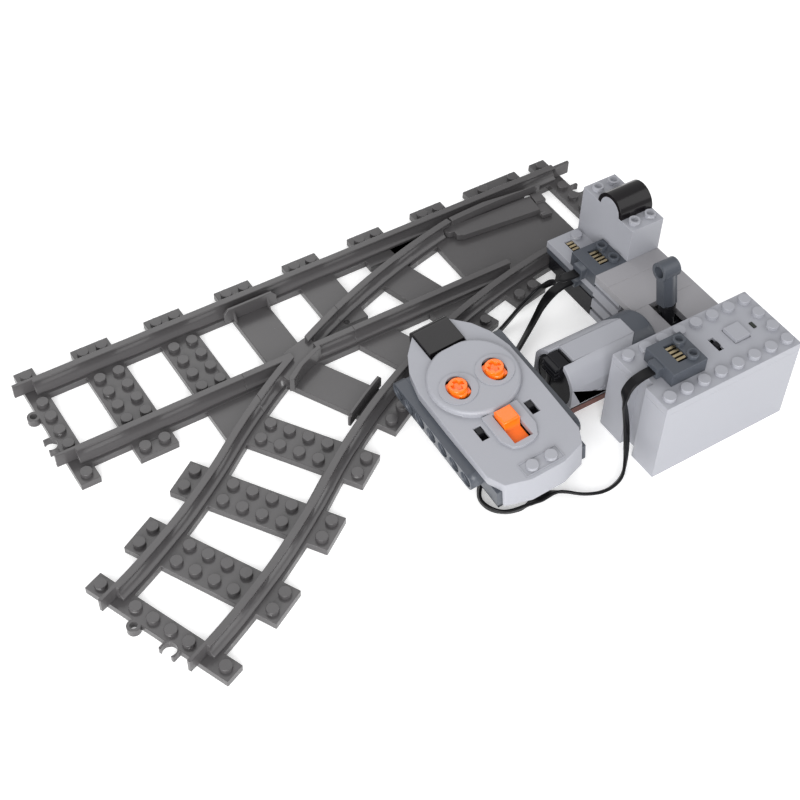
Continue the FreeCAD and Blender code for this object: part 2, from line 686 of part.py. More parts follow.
def drive_frame_nodes():
    x1 = RX_X1
    fork_pit = box(BAR_X0 - CHANNEL_SIDE, 239.6, DRIVE_Y0 + 0.7, DRIVE_Y1, -1, 30)
    base = box(176, x1, DRIVE_Y0, DRIVE_Y1, 0, PLATE)
    base = base.cut(fork_pit).cut(bar_channel(DRIVE_Y0, DRIVE_Y1))
    save("base_plate", base)
    lower = box(176, x1, DRIVE_Y0, DRIVE_Y1, PLATE, 2 * PLATE).cut(fork_pit)
    save("lower_plate", lower)
    wall = box(RX_X0, 230.6, -72, RX_Y0, 0, ROOF_Z - PLATE)
    for k in range(3):
        z = 2 * PLATE * k + PLATE
        wall = wall.cut(box(RX_X0 - 1, RX_X0 + 1.4, -73, RX_Y0 + 1, z, z + 1.6))
    save("ribbed_wall", wall)
    side = box(240, x1, DRIVE_Y1, RX_Y0, 0, ROOF_Z - PLATE)
    bearing = box(240, x1, DRIVE_Y0, DRIVE_Y1, 2 * PLATE, ROOF_Z - PLATE)
    side = side.fuse(bearing).cut(rod(AXLE_R + FIT, 230, DRIVE_Y, AXLE_Z, 16.8, "x"))
    save("side_wall", side.removeSplitter())
    pillar = box(MOTOR_X1 + 0.5, LEVER_X - 4.1, DRIVE_Y0, DRIVE_Y1, 2 * PLATE, ROOF_Z - PLATE)
    pillar = pillar.cut(rod(AXLE_R + 1.0, 210, DRIVE_Y, AXLE_Z, 20, "x"))
    save("axle_pillar", pillar)
    save("roof_strip", box(RX_X0, x1, -64, RX_Y0, ROOF_Z - PLATE, ROOF_Z))
    save("roof_tile", box(RX_X0, x1, DRIVE_Y1, -64, ROOF_Z - PLATE, ROOF_Z))
    left = box(RX_X0, LEVER_X - 4, DRIVE_Y0, DRIVE_Y1, ROOF_Z - PLATE, ROOF_Z)
    right = box(LEVER_X + 4, x1, DRIVE_Y0, DRIVE_Y1, ROOF_Z - PLATE, ROOF_Z)
    save("slot_tiles", Part.makeCompound([left, right]))
    under = box(RX_X0, x1, RX_Y0, -32, 0, RX_Z)
    ledge = box(RX_X0, x1, -32, -26.8, PLATE, RX_Z)
    under = under.fuse(ledge).cut(bar_channel(RX_Y0 - 1, -20))
    under = under.cut(curve_1(-HALF_GAUGE, 0, 20, FOOT_W / 2 + 0.2, -1, 20))
    save("receiver_stand", under.removeSplitter())


# ---------------------------------------------------------------- motor

def motor_nodes():
    y = DRIVE_Y
    z = AXLE_Z
    whole = rod(MOTOR_R, MOTOR_X0, y, z, MOTOR_X1 - MOTOR_X0, "x")
    limit = box(MOTOR_X0, MOTOR_X1, y - MOTOR_HALF_W, y + MOTOR_HALF_W, MOTOR_FLOOR, z + MOTOR_HALF_W)
    whole = whole.common(limit)
    nose = rod(MOTOR_R, MOTOR_X0, y, z, MOTOR_X1 - MOTOR_X0, "x")
    edge = [e for e in nose.Edges if e.BoundBox.XMin > MOTOR_X1 - 0.1]
    whole = whole.common(nose.makeFillet(3.5, edge))
    inner_r = MOTOR_HALF_W - MOTOR_WALL
    core = rod(inner_r, MOTOR_X0 - 1, y, z, MOTOR_X1 - MOTOR_WALL - 1.5 - MOTOR_X0, "x")
    core = core.common(box(100, 300, -200, 0, MOTOR_FLOOR + MOTOR_WALL, 60))
    body = whole.cut(core)
    wedge = prism([(160, y - 20), (190.6, y - 20), (206, y - 4.5), (206, y + 4.5), (190.6, y + 20), (160, y + 20)], -1, 60)
    window = box(190, 240, y - 20, y + 20, -1, z - 0.8)
    gland_notch = box(MOTOR_X0 - 1, 177, y - 4.6, y + 4.6, z + 4.4, 40)
    shell = body.common(wedge).cut(window).cut(gland_notch)
    for k in range(3):
        shell = shell.cut(box(177, 188, y - 13, y - MOTOR_HALF_W + 0.5, 8.2 + 2.6 * k, 9.4 + 2.6 * k))
    shell = shell.cut(box(196.5, 198.9, y - 13, y - 9, z + 0.6, z + 3.0))
    save("motor_shell", shell)
    bore = rod(3.7 + FIT, 205, y, z, 20, "x")
    cowl = body.cut(wedge).cut(window).cut(bore)
    save("motor_cowl", cowl)
    low = body.common(window).cut(bore)
    for k in range(2):
        low = low.cut(box(190, 212, y - 13, y - MOTOR_HALF_W + 0.6, 8.8 + 3.0 * k, 10.0 + 3.0 * k))
    save("motor_underside", low)
    cap = rod(inner_r - 0.05, MOTOR_X0 + 0.8, y, z, 3.0, "x")
    cap = cap.common(box(100, 300, -200, 0, MOTOR_FLOOR + MOTOR_WALL + 0.05, 60))
    gland = box(GLAND_X0, 176.6, y - 4.2, y + 4.2, z + 5.0, z + 11.2)
    for k in range(3):
        gland = gland.cut(box(GLAND_X0 - 1, 176, y - 5, y + 5, z + 10.4 - 2 * k, z + 11.3 - 2 * k).cut(box(170.8, 175.6, y - 6, y + 6, 0, 60)))
    cap = cap.fuse(gland).cut(rod(1.0 + FIT, MOTOR_X0, y, z + ARMATURE_LIFT, 10, "x"))
    save("motor_rear_cap", cap.removeSplitter())
    can_z = z + ARMATURE_LIFT
    can = rod(6.8, 176.8, y, can_z, 21.0, "x").cut(rod(5.6, 177.8, y, can_z, 19.0, "x"))
    can = can.cut(rod(1.0 + FIT, 170, y, can_z, 40, "x"))
    save("motor_can", can)
    shaft = rod(1.0, 173.6, y, can_z, 34.0, "x")
    rotor = rod(5.2, 179.5, y, can_z, 15.5, "x")
    pinion = gear_prism(8, 1.3, 1.9, 204.9, 207.4, y, can_z)
    save("motor_armature", join([shaft, rotor, pinion]))


# ---------------------------------------------------------------- receiver and plugs

def receiver_nodes():
    x0, x1, y0, y1 = RX_X0, RX_X1, RX_Y0, RX_Y1
    floor_z = RX_Z + PLATE
    low_top = floor_z + PLATE
    base = box(x0 + 0.3, x1 - 0.1, y0 + 0.1, y1 - 0.2, RX_Z, floor_z)
    base = base.cut(box(x0 + 2, x1 - 2, y0 + 2, y1 - 3.2, RX_Z + 1.2, floor_z + 1))
    gland = box(x0 - 2.6, x0 + 0.3, -47.4, -41.6, RX_Z + 0.1, floor_z - 0.1)
    save("receiver_base", join([base, gland]))
    shell = box(x0, TOWER_X, y0, y1, floor_z, low_top)
    shell = shell.fuse(box(TOWER_X, x1, y0, y1, floor_z, TOWER_TOP))
    hump = rod(DOME_R - DOME_T, TOWER_X, DOME_Y, TOWER_TOP, x1 - TOWER_X, "x")
    shell = shell.fuse(hump)
    shell = shell.cut(box(x0 + 1.2, TOWER_X + 1, y0 + WALL, y1 - WALL, floor_z - 1, low_top - 1.2))
    shell = shell.cut(box(TOWER_X + WALL, x1 - WALL, y0 + WALL, y1 - WALL, floor_z - 1, TOWER_TOP - 2))
    shell = shell.cut(box(221.6, 225.4, y1 - 12.5, y1 - 4.5, floor_z, low_top + 1))
    tops = studs([(LEVER_X, y1 - 4)], low_top)
    tops += studs(pair((TOWER_X + 4, TOWER_X + 12), (y0 + 4, y1 - 4)), TOWER_TOP, STUD_BORE_R)
    save("receiver_shell", join([shell] + tops))
    dome = rod(DOME_R, TOWER_X, DOME_Y, TOWER_TOP, x1 - TOWER_X, "x")
    dome = dome.cut(rod(DOME_R - DOME_T, TOWER_X - 1, DOME_Y, TOWER_TOP, x1 - TOWER_X + 2, "x"))
    dome = dome.common(box(x0, x1, -100, 0, TOWER_TOP, 60))
    save("receiver_window", dome)
    pcb = box(TOWER_X + 2.2, TOWER_X + 3.4, y0 + 4, y1 - 4, floor_z + 0.4, TOWER_TOP - 3.2)
    eye = rod(2.4, TOWER_X + 3.4, DOME_Y, TOWER_TOP - 6, 3.0, "x")
    save("receiver_board", join([pcb, eye]))


def plug(x0, y0, z0):
    """Two by two plate plug with a strain relief on its -X side."""
    body = box(x0, x0 + PLUG_W, y0, y0 + PLUG_W, z0, z0 + PLUG_H)
    slot = box(x0 + 5.6, x0 + 10.4, y0 + 4, y0 + 13, z0 + PLUG_H - 2.4, z0 + PLUG_H + 1)
    relief = box(x0 - 3.0, x0 + 1, y0 + 5.2, y0 + 10.8, z0 + 0.8, z0 + PLUG_H - 0.6)
    body = join([body, relief] + studs([(x0 + 12, y0 + 4), (x0 + 12, y0 + 12)], z0 + PLUG_H, STUD_BORE_R))
    body = body.cut(slot)
    return body


def plug_strips(x0, y0, z0):
    out = []
    for k in range(4):
        y = y0 + 5.0 + 2.0 * k
        out.append(box(x0 + 5.9, x0 + 10.1, y, y + 1.1, z0 + PLUG_H - 2.4, z0 + PLUG_H - 0.5))
    return out


PLUG_A = (RX_X0, RX_Y0, RX_Z + 2 * PLATE)
PLUG_B = (192.0, -129.0, BOX_H)


def plug_nodes():
    save("plug_receiver", plug(*PLUG_A))
    save("plug_battery", plug(*PLUG_B))
    strips = plug_strips(*PLUG_A) + plug_strips(*PLUG_B)
    for k in range(4):
        y = RX_Y1 - 12.1 + 1.9 * k
        strips.append(box(221.9, 225.1, y, y + 1.1, RX_Z + 2 * PLATE - 1.2, RX_Z + 2 * PLATE - 0.1))
    save("contact_strips", Part.makeCompound(strips))


# ---------------------------------------------------------------- battery box

def battery_nodes():
    x0, x1, y0, y1 = BOX_X0, BOX_X1, BOX_Y0, BOX_Y1
    seam = BOX_H - LID_T
    mid_y = (y0 + y1) / 2
    case = box(x0, x1, y0, y1, 0, seam)
    case = case.cut(box(x0 + 5.5, x1 - WALL, y0 + WALL, y1 - WALL, WALL, seam + 1))
    groove = box(x0 - 1, x0 + 3.6, mid_y - 3.5, mid_y + 3.5, -1, 50)
    case = case.cut(groove)
    save("battery_case", case)
    lid = box(x0, x1, y0, y1, seam, BOX_H).cut(groove)
    lid = lid.cut(box(x0 + 5.5, x1 - WALL - 0.2, y0 + WALL, y1 - WALL, seam - 1, BOX_H - 1.4))
    xs = [x0 + 4 + PITCH * k for k in range(8)]
    ys = [y0 + 4 + PITCH * k for k in range(4)]
    places = [(x, y) for x in xs for y in (ys[0], ys[3])]
    places += [(xs[7], ys[1]), (xs[7], ys[2])]
    bx, by = 230.3, -120.5
    lid = join([lid] + studs(places, BOX_H))
    lid = lid.cut(box(bx - 3.5 - GAP, bx + 3.5 + GAP, by - 3.75 - GAP, by + 3.75 + GAP, seam, 50))
    lid = lid.cut(box(218.9, 221.3, -124.2, -117.5, seam, 50))
    lid = lid.cut(box(237.7, 239.1, -122.0, -119.0, seam, 50))
    save("battery_lid", lid)
    cap = box(bx - 3.5, bx + 3.5, by - 3.75, by + 3.75, BOX_H - 1.8, BOX_H + 1.4)
    skirt = box(bx - 4.4, bx + 4.4, by - 4.6, by + 4.6, BOX_H - 2.6, BOX_H - 1.8)
    save("power_button", join([cap, skirt]))
    knob = box(219.2, 221.0, -122.4, -120.0, BOX_H - 1.9, BOX_H + 0.5)
    tray = box(218.2, 222.0, -124.6, -117.8, BOX_H - 2.5, BOX_H - 1.9)
    save("polarity_slider", join([knob, tray]))
    save("indicator_lamp", box(237.7, 239.1, -122.0, -119.0, BOX_H - 1.4, BOX_H + 0.3))
    cells = []
    springs = []
    for row in range(2):
        for level in range(3):
            y = mid_y + (row - 0.5) * (2 * CELL_R + 1.6)
            z = WALL + 0.3 + CELL_R + level * (2 * CELL_R + 0.2)
            cell = rod(CELL_R, x0 + 9, y, z, CELL_L, "x").fuse(rod(1.9, x0 + 9 + CELL_L, y, z, 0.8, "x"))
            cells.append(cell)
            springs.append(box(x0 + 9 + CELL_L + 1.0, x0 + 9 + CELL_L + 1.6, y - 3.4, y + 3.4, z - 3.4, z + 3.4))
            springs.append(rod(2.6, x0 + 6.2, y, z, 2.4, "x"))
    save("battery_cells", Part.makeCompound(cells))
    save("battery_springs", Part.makeCompound(springs))


# ---------------------------------------------------------------- remote control

def lay(shape):
    shape = shape.copy()
    shape.rotate(V(0, 0, 0), V(0, 1, 0), REMOTE_ROLL)
    shape.rotate(V(0, 0, 0), V(0, 0, 1), REMOTE_YAW)
    shape.translate(REMOTE_AT)
    return shape


SHELL_OUTLINE = [(5.5, 17.6), (9.5, 13.4), (14.4, 7.8), (18.3, 0.0), (20.4, -10), (20.4, -30), (19.8, -56.6), (16.6, -63.3), (7.0, -66.4)]
REMOTE_BACK = -62.0
UNDERCUT = 3.4
SKIRT = 4.6
LEVER_Y = -18.5
LEVER_HALF = 8.0
ROCK_Z = 7.0
KNOB_Y0 = -42.9
KNOB_Y1 = -35.9
SWITCH_X = 10.95
SWITCH_Y = -39.1


def mirrored(points):
    return points + [(-x, y) for x, y in reversed(points)]


def remote_base_node():
    core = box(-BASE_HALF, BASE_HALF, REMOTE_BACK + UNDERCUT, -2, REMOTE_FLOOR, -BEAM_HALF_H)
    core = core.fuse(box(-19.2, 19.2, REMOTE_BACK, 2, -BEAM_HALF_H, SHELL_TOP - 4.6))
    for side in (-1, 1):
        x0 = side * REMOTE_HALF
        x1 = side * (REMOTE_HALF - BEAM_W)
        y1 = BEAM_HALF_H
        y0 = -PITCH * (HOLES - 1) - BEAM_HALF_H
        beam = box(min(x0, x1), max(x0, x1), y0, y1, -BEAM_HALF_H, BEAM_HALF_H - 0.2)
        edges = [e for e in beam.Edges if abs(e.Vertexes[0].Y - e.Vertexes[1].Y) < 0.01 and abs(e.Vertexes[0].Z - e.Vertexes[1].Z) < 0.01]
        beam = beam.makeFillet(3.0, edges)
        for k in range(HOLES):
            y = -PITCH * k
            beam = beam.cut(rod(PIN_R, min(x0, x1) - 1, y, 0, BEAM_W + 2, "x"))
            beam = beam.cut(rod(3.1, x0 - 0.8, y, 0, 1.6, "x"))
        core = core.fuse(beam)
    core = core.cut(box(-15.8, 15.8, REMOTE_BACK + UNDERCUT + 1.6, -6, REMOTE_FLOOR + 1.4, 20))
    core = core.cut(box(-15.8, 15.8, REMOTE_BACK + 1.6, -6, 1.4 - BEAM_HALF_H, 20))
    for side in (-1, 1):
        for k in range(HOLES):
            core = core.cut(rod(PIN_R, side * 19.9 - 1.6, -PITCH * k, 0, 3.2, "x"))
    save("remote_base", lay(core.removeSplitter()))


def remote_shell_node():
    z0 = SHELL_TOP - 4.6
    outline = mirrored(SHELL_OUTLINE)
    shell = prism(outline, z0, SHELL_TOP)
    rear = box(-19.8, 19.8, -67, REMOTE_BACK - 0.05, -SKIRT, z0)
    rear = rear.common(prism(outline, -SKIRT - 1, 10))
    dial = rod(DIAL_R, 0, DIAL_Y, z0, DIAL_TOP - z0)
    rim = [e for e in dial.Edges if e.BoundBox.ZMin > DIAL_TOP - 0.1]
    dial = dial.makeFillet(1.4, rim)
    guide = prism(mirrored([(7.7, -34), (7.7, -47), (5.4, -51.6), (2.4, -53)]), z0, SHELL_TOP + 1.2)
    shell = join([shell, rear, dial, guide])
    cavity = prism(mirrored([(7.0, -1), (15.5, -8), (17.5, -20), (17.5, -54), (14, -60)]), z0 - 1, SHELL_TOP - 1.6)
    shell = shell.cut(cavity)
    shell = shell.cut(rod(15.5, 0, DIAL_Y, z0 - 1, DIAL_TOP - 1.6 - z0 + 1).common(box(-20, 20, -34, -1.5, -5, 20)))
    shell = shell.cut(box(-8.1, 8.1, 0.3, 20, -5, 20))
    for side in (-1, 1):
        x = side * LEVER_HALF
        shell = shell.cut(box(x - 4.3, x + 4.3, LEVER_Y - 5.9, LEVER_Y + 5.9, z0, 20))
        s = side * SWITCH_X
        shell = shell.cut(box(s - 1.6, s + 1.6, SWITCH_Y - 3.3, SWITCH_Y + 3.3, z0, 20))
    shell = shell.cut(box(-3.9, 3.9, -50.5, -35.5, z0, 20))
    shell = shell.cut(box(-7.9, 7.9, -64.8, -58.7, SHELL_TOP, 20))
    pads = studs([(-4, -61.9), (4, -61.9)], SHELL_TOP)
    shell = join([shell] + pads)
    save("remote_shell", lay(shell))


def remote_control_nodes():
    glass = box(-7.9, 7.9, 2.2, 18.0, -3.2, SHELL_TOP + 1.2)
    brow = [e for e in glass.Edges if e.BoundBox.YMin > 17.9 and abs(e.BoundBox.ZMin - (SHELL_TOP + 1.2)) < 0.1]
    glass = glass.makeFillet(4.0, brow)
    save("remote_window", lay(glass))
    for side, name in ((-1, "remote_lever_left"), (1, "remote_lever_right")):
        x = side * LEVER_HALF
        cap = rod(3.6, x, LEVER_Y, ROCK_Z, 13.2 - ROCK_Z)
        skirt = box(x - 3.8, x + 3.8, LEVER_Y - 4.2, LEVER_Y + 4.2, ROCK_Z, DIAL_TOP - 0.4)
        axle = rod(1.0, x - 5.6, LEVER_Y, ROCK_Z + 0.2, 11.2, "x").common(box(x - 5.0, x + 5.0, -99, 99, 0, 20))
        lever = join([cap, skirt, axle])
        cross = box(x - 2.4, x + 2.4, LEVER_Y - 0.9, LEVER_Y + 0.9, 10.6, 20)
        cross = cross.fuse(box(x - 0.9, x + 0.9, LEVER_Y - 2.4, LEVER_Y + 2.4, 10.6, 20))
        save(name, lay(lever.cut(cross)))
    knob = box(-3.5, 3.5, KNOB_Y0, KNOB_Y1, SHELL_TOP - 1.9, 12.4)
    crest = [e for e in knob.Edges if e.BoundBox.ZMin > 12.3]
    knob = knob.makeFillet(0.8, crest)
    tail = box(-3.5, 3.5, -50.1, KNOB_Y1, SHELL_TOP - 3.1, SHELL_TOP - 1.9)
    save("remote_channel_slider", lay(join([knob, tail])))
    for side, name in ((-1, "remote_switch_left"), (1, "remote_switch_right")):
        s = side * SWITCH_X
        nub = box(s - 1.3, s + 1.3, SWITCH_Y, SWITCH_Y + 3.0, SHELL_TOP - 2.8, SHELL_TOP - 0.3)
        save(name, lay(nub))
    board = box(-13.5, 13.5, -56, -9, 4.2, 5.2)
    save("remote_board", lay(board))
    cells = []
    for k in (-1, 0, 1):
        cell = rod(5.1, k * 10.4, -55.5, REMOTE_FLOOR + 1.6 + 5.1, CELL_L, "y")
        cells.append(cell.fuse(rod(1.9, k * 10.4, -55.5 + CELL_L, REMOTE_FLOOR + 1.6 + 5.1, 0.8, "y")))
    save("remote_cells", lay(Part.makeCompound(cells)))


# ---------------------------------------------------------------- leads

LEAD_BATTERY = [
    (213.4, -44.5, 11.2),
    (206.5, -44.5, 11.2),
    (198.5, -46.6, 8.2),
    (189.5, -51.6, 4.2),
    (180.0, -57.4, 1.7),
    (170.0, -63.6, 1.15),
    (160.6, -71.6, 1.2),
    (151.8, -81.6, 1.15),
    (143.6, -92.2, 1.2),
    (134.6, -101.4, 1.15),
    (125.6, -107.4, 1.2),
    (120.6, -114.6, 1.15),
    (124.4, -122.6, 1.2),
    (133.4, -125.0, 1.15),
    (142.4, -123.0, 1.2),
    (149.6, -125.4, 1.15),
    (155.6, -131.6, 1.2),
    (163.6, -134.8, 1.15),
    (172.0, -133.2, 1.2),
    (178.4, -127.6, 3.0),
    (181.0, -123.4, 10.0),
    (181.0, -121.4, 18.0),
    (179.6, -120.8, 25.5),
    (177.7, -121.0, 31.6),
    (178.0, -121.0, 37.4),
    (182.4, -121.0, 41.5),
    (189.0, -121.0, 41.5),
]

LEAD_MOTOR = [
    (170.2, -88.0, 20.2),
    (170.2, -88.0, 14.6),
    (169.4, -85.4, 8.8),
    (166.0, -80.4, 4.4),
    (161.8, -73.0, 3.7),
    (160.4, -64.4, 3.65),
    (162.6, -56.2, 3.6),
    (168.6, -50.2, 2.6),
    (175.4, -47.0, 2.2),
    (182.4, -44.4, 3.0),
    (190.6, -41.8, 5.6),
    (198.4, -41.2, 9.6),
    (201.2, -43.2, 13.8),
    (204.2, -46.0, 17.4),
    (208.4, -48.0, 18.8),
    (213.0, -48.0, 18.8),
]


def lead(points):
    """Round tube along straight runs joined by tangent arcs."""
    pts = [V(*p) for p in points]
    edges = []
    at = pts[0]
    radii = []
    for k in range(1, len(pts) - 1):
        back = pts[k - 1] - pts[k]
        ahead = pts[k + 1] - pts[k]
        turn = math.pi - back.getAngle(ahead)
        run = min(back.Length, ahead.Length)
        cut = 0.45 * run
        radius = cut / math.tan(turn / 2)
        radii.append(radius)
        p0 = pts[k] + back.normalize() * cut
        p1 = pts[k] + ahead.normalize() * cut
        bis = ((p0 + p1) * 0.5 - pts[k]).normalize()
        reach = radius / math.cos(turn / 2) - radius
        mid = pts[k] + bis * reach
        edges.append(Part.LineSegment(at, p0).toShape())
        edges.append(Part.Arc(p0, mid, p1).toShape())
        at = p1
    edges.append(Part.LineSegment(at, pts[-1]).toShape())
    wire = Part.Wire(edges)
    way = (pts[1] - pts[0]).normalize()
    ring = Part.Wire([Part.makeCircle(LEAD_D / 2, pts[0], way)])
    tube = wire.makePipeShell([ring], True, False)
    full = math.pi * LEAD_D ** 2 / 4 * wire.Length
    print("lead length", round(wire.Length, 1), "volume share", round(tube.Volume / full, 4))
    print("radii", [round(r, 1) for r in radii])
    return tube


def lead_nodes():
    save("lead_battery", lead(LEAD_BATTERY))
    save("lead_motor", lead(LEAD_MOTOR))


def main():
    os.makedirs("parts", exist_ok=True)
    bed_nodes()
    rail_nodes()
    check_nodes()
    tongue_node()
    slide_bar_node()
    drive_frame_nodes()
    drive_shaft_nodes()
    motor_nodes()
    receiver_nodes()
    plug_nodes()
    battery_nodes()
    remote_base_node()
    remote_shell_node()
    remote_control_nodes()
    lead_nodes()


main()
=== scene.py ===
import json
import math

import bmesh
import bpy
from mathutils import Matrix, Vector

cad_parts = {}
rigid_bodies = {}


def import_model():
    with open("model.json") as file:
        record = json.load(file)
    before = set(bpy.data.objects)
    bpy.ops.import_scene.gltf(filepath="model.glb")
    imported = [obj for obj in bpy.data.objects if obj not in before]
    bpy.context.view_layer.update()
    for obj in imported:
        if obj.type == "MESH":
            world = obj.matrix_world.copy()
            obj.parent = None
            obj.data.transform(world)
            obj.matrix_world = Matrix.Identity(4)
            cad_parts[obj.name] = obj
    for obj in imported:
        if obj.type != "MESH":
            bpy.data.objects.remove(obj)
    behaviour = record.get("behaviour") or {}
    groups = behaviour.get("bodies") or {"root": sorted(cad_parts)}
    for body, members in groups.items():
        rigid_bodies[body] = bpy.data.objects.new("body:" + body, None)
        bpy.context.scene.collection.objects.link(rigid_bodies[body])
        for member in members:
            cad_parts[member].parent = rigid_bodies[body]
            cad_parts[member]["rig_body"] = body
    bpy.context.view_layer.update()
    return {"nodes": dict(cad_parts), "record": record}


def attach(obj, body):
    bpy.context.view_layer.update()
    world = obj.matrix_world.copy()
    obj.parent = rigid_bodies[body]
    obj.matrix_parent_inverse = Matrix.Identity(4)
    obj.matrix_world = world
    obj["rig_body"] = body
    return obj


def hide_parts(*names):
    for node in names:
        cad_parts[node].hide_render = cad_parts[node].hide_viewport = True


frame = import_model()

bl_info = {
    "name": "Motorised model turnout",
    "version": (1, 0, 0),
    "blender": (4, 5, 0),
    "location": "View3D > Sidebar > Turnout",
    "description": "Builds the turnout, its point drive, power parts and remote around the packed frame",
    "category": "Object",
}

MM = 0.001
DIAL_TOP = 11.2
NODES = frame["nodes"]


# ------------------------------------------------------------------ settings

class TurnoutColours(bpy.types.PropertyGroup):
    """Plastic, metal and cable colours."""

    track: bpy.props.FloatVectorProperty(
        name="Track grey", description="Rails and sleepers", subtype="COLOR", default=(0.066, 0.063, 0.065))
    light: bpy.props.FloatVectorProperty(
        name="Light grey", description="Housings and bricks", subtype="COLOR", default=(0.30, 0.305, 0.335))
    tile: bpy.props.FloatVectorProperty(
        name="Tile grey", description="Smooth roof tiles", subtype="COLOR", default=(0.27, 0.265, 0.28))
    dark: bpy.props.FloatVectorProperty(
        name="Dark grey", description="Remote base, plugs and lever", subtype="COLOR", default=(0.062, 0.069, 0.083))
    black: bpy.props.FloatVectorProperty(
        name="Black", description="Black plastic", subtype="COLOR", default=(0.010, 0.010, 0.012))
    brown: bpy.props.FloatVectorProperty(
        name="Reddish brown", description="Plate under the motor", subtype="COLOR", default=(0.105, 0.020, 0.010))
    orange: bpy.props.FloatVectorProperty(
        name="Orange", description="Remote levers and slider", subtype="COLOR", default=(0.95, 0.165, 0.008))
    floor: bpy.props.FloatVectorProperty(
        name="Floor", description="Pale studio floor", subtype="COLOR", default=(0.90, 0.90, 0.90))


class TurnoutSizes(bpy.types.PropertyGroup):
    """Sizes of details that the frame doesn't hold."""

    edge: bpy.props.FloatProperty(
        name="Edge radius", description="Rounding on moulded edges", unit="LENGTH", default=0.16 * MM)
    ribbon_width: bpy.props.FloatProperty(
        name="Ribbon width", description="Width of the four-core ribbon lead", unit="LENGTH", default=4.4 * MM)
    ribbon_thick: bpy.props.FloatProperty(
        name="Ribbon thickness", description="Thickness of the ribbon lead", unit="LENGTH", default=1.25 * MM)


class TurnoutStage(bpy.types.PropertyGroup):
    """Camera place, aim, roll and lens."""

    eye: bpy.props.FloatVectorProperty(
        name="Camera", description="Camera place", subtype="XYZ_LENGTH", default=(-0.0913, -0.3766, 0.4364))
    aim: bpy.props.FloatVectorProperty(
        name="Aim", description="Point in the middle of the view", subtype="XYZ_LENGTH", default=(0.1240, -0.0551, 0.0))
    roll: bpy.props.FloatProperty(
        name="Roll", description="Tilt of the camera about its own line", unit="ROTATION", default=math.radians(1.895))
    lens: bpy.props.FloatProperty(name="Lens", description="Focal length in mm", default=67.18)


def settings():
    scene = bpy.context.scene
    return scene.turnout_colours, scene.turnout_sizes, scene.turnout_stage


# ------------------------------------------------------------------ materials

def new_group(name, inputs, outputs):
    """Empty shader group with named sockets."""
    group = bpy.data.node_groups.new(name, "ShaderNodeTree")
    for label, kind, value in inputs:
        socket = group.interface.new_socket(label, in_out="INPUT", socket_type=kind)
        if value is not None:
            socket.default_value = value
    for label, kind in outputs:
        group.interface.new_socket(label, in_out="OUTPUT", socket_type=kind)
    return group, group.nodes.new("NodeGroupInput"), group.nodes.new("NodeGroupOutput")


def math_node(tree, kind, first, second):
    node = tree.nodes.new("ShaderNodeMath")
    node.operation = kind
    for socket, value in zip(node.inputs, (first, second)):
        if isinstance(value, (int, float)):
            socket.default_value = value
        else:
            tree.links.new(value, socket)
    return node.outputs[0]


def noise(tree, coords, scale, detail=2.0, rough=0.5):
    node = tree.nodes.new("ShaderNodeTexNoise")
    node.inputs["Detail"].default_value = detail
    node.inputs["Roughness"].default_value = rough
    if isinstance(scale, (int, float)):
        node.inputs["Scale"].default_value = scale
    else:
        tree.links.new(scale, node.inputs["Scale"])
    tree.links.new(coords, node.inputs["Vector"])
    return node.outputs["Fac"]


def moulded_surface():
    """Moulded plastic: slow shade change, faint flow marks, handling haze and a fine orange-peel height."""
    group, into, out = new_group(
        "Moulded surface",
        [("Colour", "NodeSocketColor", None), ("Shade change", "NodeSocketFloat", 0.08),
         ("Roughness", "NodeSocketFloat", 0.3), ("Haze", "NodeSocketFloat", 0.12), ("Grain", "NodeSocketFloat", 1500.0)],
        [("Colour", "NodeSocketColor"), ("Roughness", "NodeSocketFloat"), ("Height", "NodeSocketFloat")])
    tree = group
    coords = tree.nodes.new("ShaderNodeTexCoord").outputs["Object"]
    slow = noise(tree, coords, 38.0, 3.0)
    flow_map = tree.nodes.new("ShaderNodeMapping")
    flow_map.inputs["Scale"].default_value = (0.35, 1.0, 1.0)
    tree.links.new(coords, flow_map.inputs["Vector"])
    flow = noise(tree, flow_map.outputs[0], 260.0, 4.0, 0.6)
    both = math_node(tree, "ADD", math_node(tree, "MULTIPLY", slow, 0.65), math_node(tree, "MULTIPLY", flow, 0.35))
    shade = math_node(tree, "ADD", 1.0, math_node(tree, "MULTIPLY", math_node(tree, "SUBTRACT", both, 0.5), into.outputs["Shade change"]))
    shade_2 = math_node(tree, "ADD", shade, 0.0)
    tint = tree.nodes.new("ShaderNodeHueSaturation")
    tree.links.new(into.outputs["Colour"], tint.inputs["Color"])
    tree.links.new(shade_2, tint.inputs["Value"])
    tree.links.new(tint.outputs[0], out.inputs["Colour"])
    haze = noise(tree, coords, 120.0, 5.0, 0.65)
    rough = math_node(tree, "MULTIPLY", math_node(tree, "SUBTRACT", haze, 0.45), into.outputs["Haze"])
    tree.links.new(math_node(tree, "ADD", into.outputs["Roughness"], rough), out.inputs["Roughness"])
    peel = noise(tree, coords, into.outputs["Grain"], 2.0)
    dimple = math_node(tree, "MULTIPLY", noise(tree, coords, 300.0, 1.0), 0.6)
    tree.links.new(math_node(tree, "ADD", peel, dimple), out.inputs["Height"])
    return group


